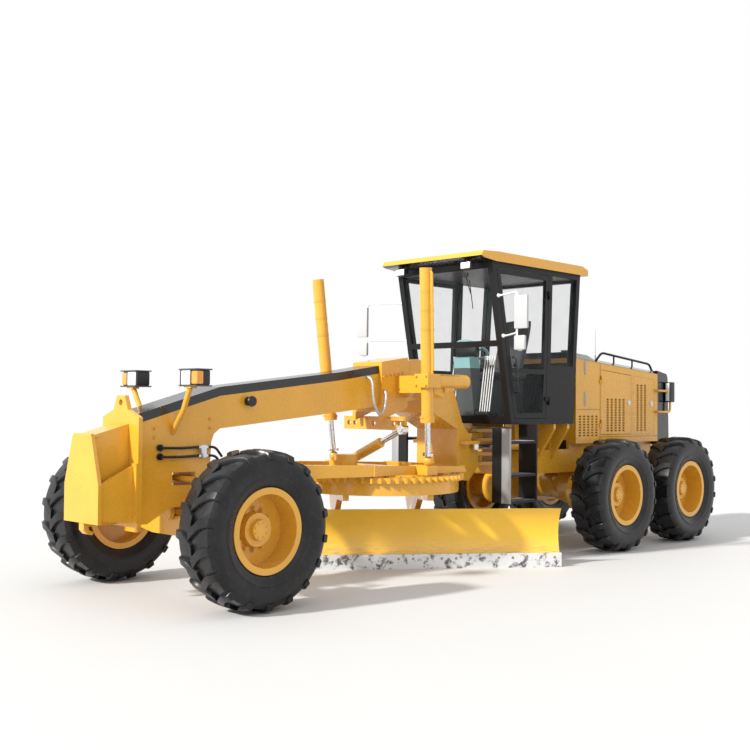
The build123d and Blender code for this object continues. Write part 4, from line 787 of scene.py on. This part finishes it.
class GRADER_OT_cab(bpy.types.Operator):
    """Mirrors, roof lamps, wipers, door handles, levers and dash of the cab."""
    bl_idname = "grader.cab"
    bl_label = "Cab"

    def execute(self, context):
        self.mirrors()
        self.roof()
        self.wipers()
        self.doors()
        self.inside()
        return {"FINISHED"}

    def mirrors(self):
        x = 2760.0
        for name, side in SIDES:
            y = side * 1120
            frame_tube = Shape()
            for z in (2480.0, 2920.0):
                foot = pillar(z) - 33
                frame_tube.rod((foot, side * 710.3, z), (foot, side * 724, z), 22, 20)
                frame_tube.tube(rounded([(foot, side * 718, z), (foot + 4, side * 770, z), (x, y, z),
                                         (x, y, 2700)], 50), 11)
            frame_tube.tube(rounded([(x, y, 2700), (x, y, 2300), (x, y + side * 60, 2296)], 40), 11)
            frame_tube.piece("mirror_frame_" + name, "rear_frame", "black_paint", "white",
                             replaces=("cab_fittings",) if side > 0 else ())
            boxes("mirror_housing_" + name, "rear_frame", "black_paint", "pale",
                  [((x - 8, y - side * 22, z0), (x + 30, y + side * (width - 22), z1), 16)
                   for z0, z1, width in MIRRORS])
            boxes("mirror_face_" + name, "rear_frame", "window_glass", "mirror",
                  [((x - 11, y - side * 8, z0 + 14), (x - 7, y + side * (width - 36), z1 - 14), 1.5)
                   for z0, z1, width in MIRRORS])

    def roof(self):
        shape = Shape()
        for y in (490, -490):
            shape.block((2790, y - 72, 3200), (2862, y + 72, 3284), 14)
            shape.rod((2820, y, 3280), (2820, y, 3305), 12)
        shape.piece("roof_lamps", "rear_frame", "black_paint", "plastic")
        boxes("roof_lamp_lenses", "rear_frame", "window_glass", "lens",
              [((2860, y - 62, 3209), (2868, y + 62, 3275), 4) for y in (490, -490)])
        boxes("roof_ribs", "rear_frame", "yellow_paint", "paint",
              [((950, y - 30, 3397), (2500, y + 30, 3402), 2) for y in range(-480, 481, 240)])

    def wipers(self):
        shape = Shape()
        for y in (-330.0, 330.0):
            x = pillar(3170)
            shape.block((x + 2, y - 30, 3145), (x + 26, y + 30, 3195), 6)
            shape.rod((x + 20, y, 3170), (pillar(2960) + 18, y + 40, 2960), 6, 8)
            shape.rod((pillar(3110) + 10, y + 40, 3110), (pillar(2790) + 10, y + 40, 2790), 5, 8)
        shape.piece("front_wipers", "rear_frame", "black_paint", "plastic")

    def doors(self):
        for name, side in SIDES:
            x, y = pillar(2000) - 175, side * CAB_HALF
            shape = Shape()
            shape.tube(rounded([(x, y, 1850), (x, y + side * 46, 1860), (x + 60, y + side * 46, 2240),
                                (x + 62, y, 2250)], 26), 10)
            shape.block((x - 20, y, 2140), (x + 40, y + side * 26, 2180), 6)
            shape.piece("door_handle_" + name, "cab_door_" + name, "black_paint", "plastic")

    def inside(self):
        levers = Shape()
        for side in (1, -1):
            for k in range(5):
                y = side * (158 + k * 34)
                levers.rod((2190, y, 1575), (2090, y * 1.04, 2240), 7, 8)
                levers.rod((2090, y * 1.04, 2236), (2084, y * 1.04, 2284), 13, 12, 15)
        levers.piece("control_levers", "rear_frame", "console_plastic", "white")
        boxes("lever_boots", "rear_frame", "console_plastic", "plastic",
              [((2140, side * 130, 1562), (2240, side * 318, 1640), 14) for side in (1, -1)])
        boxes("dash_cluster", "rear_frame", "console_plastic", "plastic",
              [((2170, -150, 2270), (2260, 150, 2400), 22)])


class GRADER_OT_seat(bpy.types.Operator):
    """The operator's seat: a crowned cushion and a shaped back."""
    bl_idname = "grader.seat"
    bl_label = "Seat"

    def execute(self, context):
        shape = Shape()
        # Cushion and back, each from its middle and its half sizes
        for sizes in (((1560, 0, 2070), (225, 0, 0), (0, 225, 0), (0, 0, 56)),
                      ((1345, 0, 2440), (-105, 0, 320), (0, 210, 0), (60, 0, 16))):
            self.pad(shape, *(Vector(size) for size in sizes))
        seat = shape.piece("seat_pads", "rear_frame", "seat_fabric", "seat", 60, replaces=("operator_seat",))
        return {"FINISHED"}

    def pad(self, shape, middle, along, across, up):
        """A crowned pad with sewn channels."""
        count = 28
        top, bottom = {}, {}
        for i in range(count + 1):
            for j in range(count + 1):
                u, v = 2 * i / count - 1, 2 * j / count - 1
                fall = (1 - abs(u) ** 4) * (1 - abs(v) ** 4)
                pull = 1 - 0.05 * (abs(u * v)) ** 2
                channel = 1 - 0.16 * math.exp(-((abs(v) - 0.5) / 0.035) ** 2)
                crown = (fall ** 0.35) * channel
                spot = middle + along * u * pull + across * v * pull
                top[i, j] = shape.mesh.verts.new(spot + up * crown)
                if i in (0, count) or j in (0, count):
                    bottom[i, j] = top[i, j]
                else:
                    bottom[i, j] = shape.mesh.verts.new(spot - up * 0.9 * (fall ** 0.3))
        for i in range(count):
            for j in range(count):
                shape.mesh.faces.new((top[i, j], top[i + 1, j], top[i + 1, j + 1], top[i, j + 1]))
                shape.mesh.faces.new((bottom[i, j], bottom[i, j + 1], bottom[i + 1, j + 1], bottom[i + 1, j]))


# Front frame

class GRADER_OT_front(bpy.types.Operator):
    """Bolts, valves with their pipes, tow hook, horn and headlamps of the front frame."""
    bl_idname = "grader.front"
    bl_label = "Front frame"

    def execute(self, context):
        bolts = Shape()
        for side in (1, -1):
            for z in (760.0, 900.0, 1040.0, 1180.0):
                bolts.bolt((6870, side * 258, z), (1, 0, 0), 30)
            for x, z in ((6640, 1480), (6640, 1400), (6050, 1560), (6050, 1480)):
                bolts.bolt((x, side * 170, z), (0, side, 0), 22)
            for k in range(6):
                bolts.bolt((3560 + k * 60, side * 215, 2040 - k * 9), (0, side, 0), 20)
        bolts.piece("frame_bolts", "front_frame", "yellow_paint", "paint")
        ports = Shape()
        for side in (1, -1):
            for z in (1311.0, 1234.0):
                ports.rod((6587, side * 168, z), (6587, side * 192, z), 30, 24)
                ports.tube(rounded([(6587, side * 186, z), (6587, side * 214, z), (6380, side * 206, z - 6),
                                    (6182, side * 196, z)], 24), 12)
                ports.tube(rounded([(6104, side * 196, z), (6010, side * 200, z - 4),
                                    (5930, side * 190, z - 90)], 40), 12)
        ports.piece("beam_pipes", "front_frame", "hose_rubber", "hose")
        valves = Shape()
        for side in (1, -1):
            valves.block((6112, side * 169, 1214), (6176, side * 214, 1331), 8)
            for z in (1234.0, 1311.0):
                valves.rod((6096, side * 196, z), (6196, side * 196, z), 19, 6)
        valves.piece("nose_valves", "front_frame", "ladder_metal", "silver")
        hook = Shape()
        side_view = [(6900, 0, 703), (7228, 0, 703), (7228, 0, 640), (7196, 0, 604), (7140, 0, 592),
                     (7128, 0, 618), (7170, 0, 634), (7182, 0, 664), (6900, 0, 668)]
        hook.prism(side_view, (0, -38, 0), (0, 38, 0), 6)
        hook.piece("tow_hook", "front_frame", "yellow_paint", "paint")
        horn = Shape()
        horn.rod((5620, 170, 1722), (5620, 232, 1722), 42, 28, 36)
        horn.rod((5620, 230, 1722), (5620, 244, 1722), 50, 28, 46)
        horn.piece("horn", "front_frame", "black_paint", "plastic")
        self.lamps()
        return {"FINISHED"}

    def lamps(self):
        # piece, slot, finish, replaced nodes, then both ends in x, y and z and the bevel of each box
        lamps = (
            ("housings", "black_paint", "plastic", ("headlamps",), ((6352, 6494, 338, 574, 1850, 1986, 20),)),
            ("visors", "black_paint", "visor", (),
             ((6340, 6514, 330, 584, 1842, 1854, 5), (6340, 6514, 330, 584, 1982, 1994, 5),
              (6488, 6502, 334, 352, 1852, 1984, 4), (6488, 6504, 482, 496, 1852, 1984, 4))),
            ("lenses", "window_glass", "lens", (), ((6490, 6500, 350, 484, 1858, 1978, 8),)),
            ("side_lamps", "black_paint", "amber_lens", (), ((6430, 6499, 494, 577, 1862, 1974, 10),)),
        )
        for name, slot, finish, replaces, rows in lamps:
            boxes("headlamp_" + name, "front_frame", slot, finish,
                  [((x0, side * y0, z0), (x1, side * y1, z1), bevel) for side in (1, -1)
                   for x0, x1, y0, y1, z0, z1, bevel in rows], replaces=replaces)


# Cylinders

LIFT_PIVOT = (3762.0, 742.0, 1950.0)
LIFT_FOOT = (3690.0, 700.0, 1132.0)


def on_lift(side, height, ahead=0.0, out=0.0):
    """A point on a lift cylinder's line, a height above its pivot, moved ahead and out."""
    flip = Vector((1, side, 1))
    pivot, foot = Vector(LIFT_PIVOT) * flip, Vector(LIFT_FOOT) * flip
    return pivot + (pivot - foot).normalized() * height + Vector((ahead, side * out, 0))


class GRADER_OT_cylinders(bpy.types.Operator):
    """Oil pipes, their clamps and the bolts of the lift cylinders."""
    bl_idname = "grader.cylinders"
    bl_label = "Cylinders"

    def execute(self, context):
        for name, side in SIDES:
            shape = Shape()
            for c, s in around(6):
                shape.bolt(on_lift(side, -378, 74 * c, 74 * s), (c, side * s, 0), 15, washer=False)
            x, y, z = LIFT_PIVOT
            for dy, dz in ((-66, -46), (-66, 46), (66, -46), (66, 46)):
                shape.bolt((x + 92, side * (y + dy), z + dz), (1, 0, 0), 24)
            shape.tube(rounded([on_lift(side, height, 0, out) for height, out
                                in ((1100, 58), (1090, 84), (110, 84), (96, 60))], 24), 11)
            for height in (520.0, 710.0, 900.0):
                for offset in (-9, 9):
                    shape.rod(on_lift(side, height + offset), on_lift(side, height + offset + 3), 66, 32)
                shape.rod(on_lift(side, height, 0, 60), on_lift(side, height, 0, 96), 12, 12)
            shape.piece("lift_cylinder_fittings_" + name, "lift_cylinder_" + name, "yellow_paint", "paint")
        return {"FINISHED"}


# Circle, blade and ladders

CIRCLE_X = 3696.0
BLADE_TURN = math.radians(-37.3)
BLADE_SHIFT, BLADE_LENGTH = -97.0, 3660.0


def on_blade(across, ahead, z):
    """A point of the machine from the blade's own axes."""
    c, s = math.cos(BLADE_TURN), math.sin(BLADE_TURN)
    return Vector((CIRCLE_X + across * c - ahead * s, across * s + ahead * c, z))


class GRADER_OT_blade(bpy.types.Operator):
    """Bolts of the cutting edge and of the circle."""
    bl_idname = "grader.blade"
    bl_label = "Blade and circle"

    def execute(self, context):
        shape = Shape()
        count = 24
        for k in range(count):
            across = BLADE_SHIFT + BLADE_LENGTH * ((k + 0.5) / count - 0.5)
            shape.rod(on_blade(across, 315.5, 104), on_blade(across, 319, 104), 15, 20, 13)
        shape.piece("edge_bolts", "blade", "dark_steel", "bolt")
        ring = Shape()
        for c, s in around(36):
            ring.bolt((CIRCLE_X + 812 * c, 812 * s, 978), (0, 0, 1), 18)
        ring.piece("circle_bolts", "circle", "yellow_paint", "bolt")
        return {"FINISHED"}


class GRADER_OT_ladders(bpy.types.Operator):
    """Treads and front rails of the ladders."""
    bl_idname = "grader.ladders"
    bl_label = "Ladders"

    def execute(self, context):
        for name, side in SIDES:
            boxes("step_treads_" + name, "rear_frame", "ladder_metal", "grey",
                  [((x, side * 650, z - 1), (x + 12, side * 872, z + 5), 1.5)
                   for z in (663, 951, 1316) for x in range(2090, 2509, 38)])
            boxes("ladder_front_rail_" + name, "rear_frame", "ladder_metal", "grey",
                  [((2530.5, side * 772, 638), (2561.5, side * 881.5, 1456), 3)])
        return {"FINISHED"}


# Finishes of the modelled nodes, and the hose

NODE_FINISH = {
    "front_frame": "beam_paint", "front_nose": "beam_paint", "shift_bush": "steel", "drawbar_ball": "steel",
    "moldboard": "blade_paint", "cutting_edge": "edge_steel", "cab_shell": "trim", "cab_door_left": "trim",
    "cab_door_right": "trim", "ladders": "trim", "cab_roof": "roof_paint_and_shade", "hood_cover": "cover",
    "cab_glass": "glass", "door_glass_left": "glass", "door_glass_right": "glass", "engine_block": "engine",
    "control_console": "console", "lift_rod_left": "chrome", "lift_rod_right": "chrome",
    "shift_rod": "chrome", "bend_rod_left": "chrome", "bend_rod_right": "chrome",
}


class GRADER_OT_finishes(bpy.types.Operator):
    """Gives every modelled node its finish."""
    bl_idname = "grader.finishes"
    bl_label = "Finishes"

    def execute(self, context):
        make_finishes(context.scene.grader_paint)
        for name, made in NODES.items():
            finish = NODE_FINISH.get(name, "rubber" if name.startswith("tyre_") else "paint")
            made.data.materials.clear()
            made.data.materials.append(FINISHES[finish])
            made.data.shade_smooth()
            made.data.set_sharp_from_angle(angle=math.radians(32))
        return {"FINISHED"}


# The saddle hose, from its fitting on the beam down and up again to the saddle
HOSE_ROUTE = (
    (4060.0, 170.8, 1990.0), (4060.0, 262.0, 1985.0), (4058.0, 264.0, 1760.0), (3975.0, 264.0, 1585.0),
    (3880.0, 264.0, 1640.0), (3850.0, 262.0, 1850.0), (3850.0, 215.8, 1852.0),
)
HOSE_DIAMETER = 28.0


class GRADER_OT_hoses(bpy.types.Operator):
    """The hose that hangs from the beam to the saddle."""
    bl_idname = "grader.hoses"
    bl_label = "Hoses"

    def execute(self, context):
        curve = bpy.data.curves.new("saddle_hose_1", "CURVE")
        curve.dimensions = "3D"
        curve.bevel_depth = HOSE_DIAMETER / 2000
        curve.bevel_resolution = 5
        curve.use_fill_caps = True
        spline = curve.splines.new("NURBS")
        spline.points.add(len(HOSE_ROUTE) - 1)
        for point, place in zip(spline.points, HOSE_ROUTE):
            point.co = (*metres(place), 1)
        spline.order_u = 3
        spline.use_endpoint_u = True
        spline.resolution_u = 24
        curve.materials.append(FINISHES["braid"])
        made = bpy.data.objects.new(curve.name, curve)
        context.scene.collection.objects.link(made)
        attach(made, "front_frame")
        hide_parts("saddle_hoses")
        return {"FINISHED"}


# Stage

CAMERA_PLACE = (11851.5, 7912.9, 1687.6)
CAMERA_YAW = 224.368
CAMERA_PITCH = 1.679
CAMERA_ROLL = 0.527
CAMERA_LENS = 51.0


class GRADER_OT_stage(bpy.types.Operator):
    """Camera, floor and studio light."""
    bl_idname = "grader.stage"
    bl_label = "Stage"

    def execute(self, context):
        settings = context.scene.grader_stage
        self.camera(context)
        self.floor(context, settings)
        self.lights(context, settings)
        return {"FINISHED"}

    def camera(self, context):
        yaw, pitch, roll = (math.radians(a) for a in (CAMERA_YAW, CAMERA_PITCH, CAMERA_ROLL))
        ahead = Vector((math.cos(yaw) * math.cos(pitch), math.sin(yaw) * math.cos(pitch), math.sin(pitch)))
        right = ahead.cross(Vector((0, 0, 1))).normalized()
        up = right.cross(ahead)
        c, s = math.cos(roll), math.sin(roll)
        right, up = right * c + up * s, up * c - right * s
        data = bpy.data.cameras.new("photo_camera")
        data.sensor_width = 36
        data.sensor_fit = "HORIZONTAL"
        data.lens = CAMERA_LENS
        data.clip_end = 200
        made = bpy.data.objects.new("photo_camera", data)
        turn = Matrix((right, up, -ahead)).transposed().to_4x4()
        made.matrix_world = Matrix.Translation(metres(CAMERA_PLACE)) @ turn
        context.scene.collection.objects.link(made)
        context.scene.camera = made

    def floor(self, context, settings):
        """A wide plate under the wheels, in metres."""
        shape = Shape()
        shape.block((-60, -60, -0.04), (60, 60, 0))
        data = bpy.data.meshes.new("floor")
        shape.mesh.to_mesh(data)
        shape.mesh.free()
        finish = Finish("pale_floor", roughness=0.7)
        grain = finish.place.noise(0.8, 3.0)
        finish.set("colour", grain.ramp(0.3, 0.7).shades(tuple(settings.floor), 0.99, 1.0))
        data.materials.append(finish.material)
        made = bpy.data.objects.new("floor", data)
        context.scene.collection.objects.link(made)

    def lights(self, context, settings):
        world = bpy.data.worlds.new("studio")
        context.scene.world = world
        world.use_nodes = True
        background = world.node_tree.nodes["Background"]
        background.inputs["Color"].default_value = (1.0, 1.0, 1.0, 1.0)
        background.inputs["Strength"].default_value = settings.sky
        lights = (
            # name, from, strength, size, colour
            ("key", (16.0, -3.0, 10.0), settings.key, 0.06, (1.0, 0.98, 0.94)),
            ("fill", (6.0, 16.0, 8.0), settings.key * 0.04, 0.6, (0.95, 0.97, 1.0)),
        )
        for name, place, strength, size, colour in lights:
            data = bpy.data.lights.new(name, "SUN")
            data.energy = strength
            data.angle = size
            data.color = colour
            made = bpy.data.objects.new(name, data)
            made.rotation_euler = (-Vector(place)).to_track_quat("-Z", "Y").to_euler()
            made.location = place
            context.scene.collection.objects.link(made)
        context.scene.view_settings.view_transform = "Standard"
        context.scene.view_settings.look = "None"


class GRADER_PT_panel(bpy.types.Panel):
    """Lists the steps that dress the grader."""
    bl_label = "Grader"
    bl_idname = "GRADER_PT_panel"
    bl_space_type = "VIEW_3D"
    bl_region_type = "UI"
    bl_category = "Grader"

    def draw(self, context):
        scene = context.scene
        for settings in (scene.grader_paint, scene.grader_tread, scene.grader_grille, scene.grader_stage):
            box = self.layout.box()
            for name in settings.bl_rna.properties.keys():
                if name not in {"rna_type", "name"}:
                    box.prop(settings, name)
        for operator in OPERATORS:
            self.layout.operator(operator.bl_idname)


GROUPS = (("grader_paint", GraderPaint), ("grader_tread", GraderTread), ("grader_grille", GraderGrille),
          ("grader_stage", GraderStage))
OPERATORS = (GRADER_OT_stage, GRADER_OT_finishes, GRADER_OT_hoses, GRADER_OT_tyres, GRADER_OT_hubs,
             GRADER_OT_hood, GRADER_OT_cab, GRADER_OT_seat, GRADER_OT_front, GRADER_OT_cylinders,
             GRADER_OT_blade, GRADER_OT_ladders)


def register():
    for name, group in GROUPS:
        bpy.utils.register_class(group)
        setattr(bpy.types.Scene, name, PointerProperty(type=group))
    for operator in OPERATORS:
        bpy.utils.register_class(operator)
    bpy.utils.register_class(GRADER_PT_panel)


def unregister():
    bpy.utils.unregister_class(GRADER_PT_panel)
    for operator in reversed(OPERATORS):
        bpy.utils.unregister_class(operator)
    for name, group in reversed(GROUPS):
        delattr(bpy.types.Scene, name)
        bpy.utils.unregister_class(group)


def main():
    register()
    for operator in OPERATORS:
        group, step = operator.bl_idname.split(".")
        getattr(getattr(bpy.ops, group), step)()


if __name__ == "__main__":
    main()
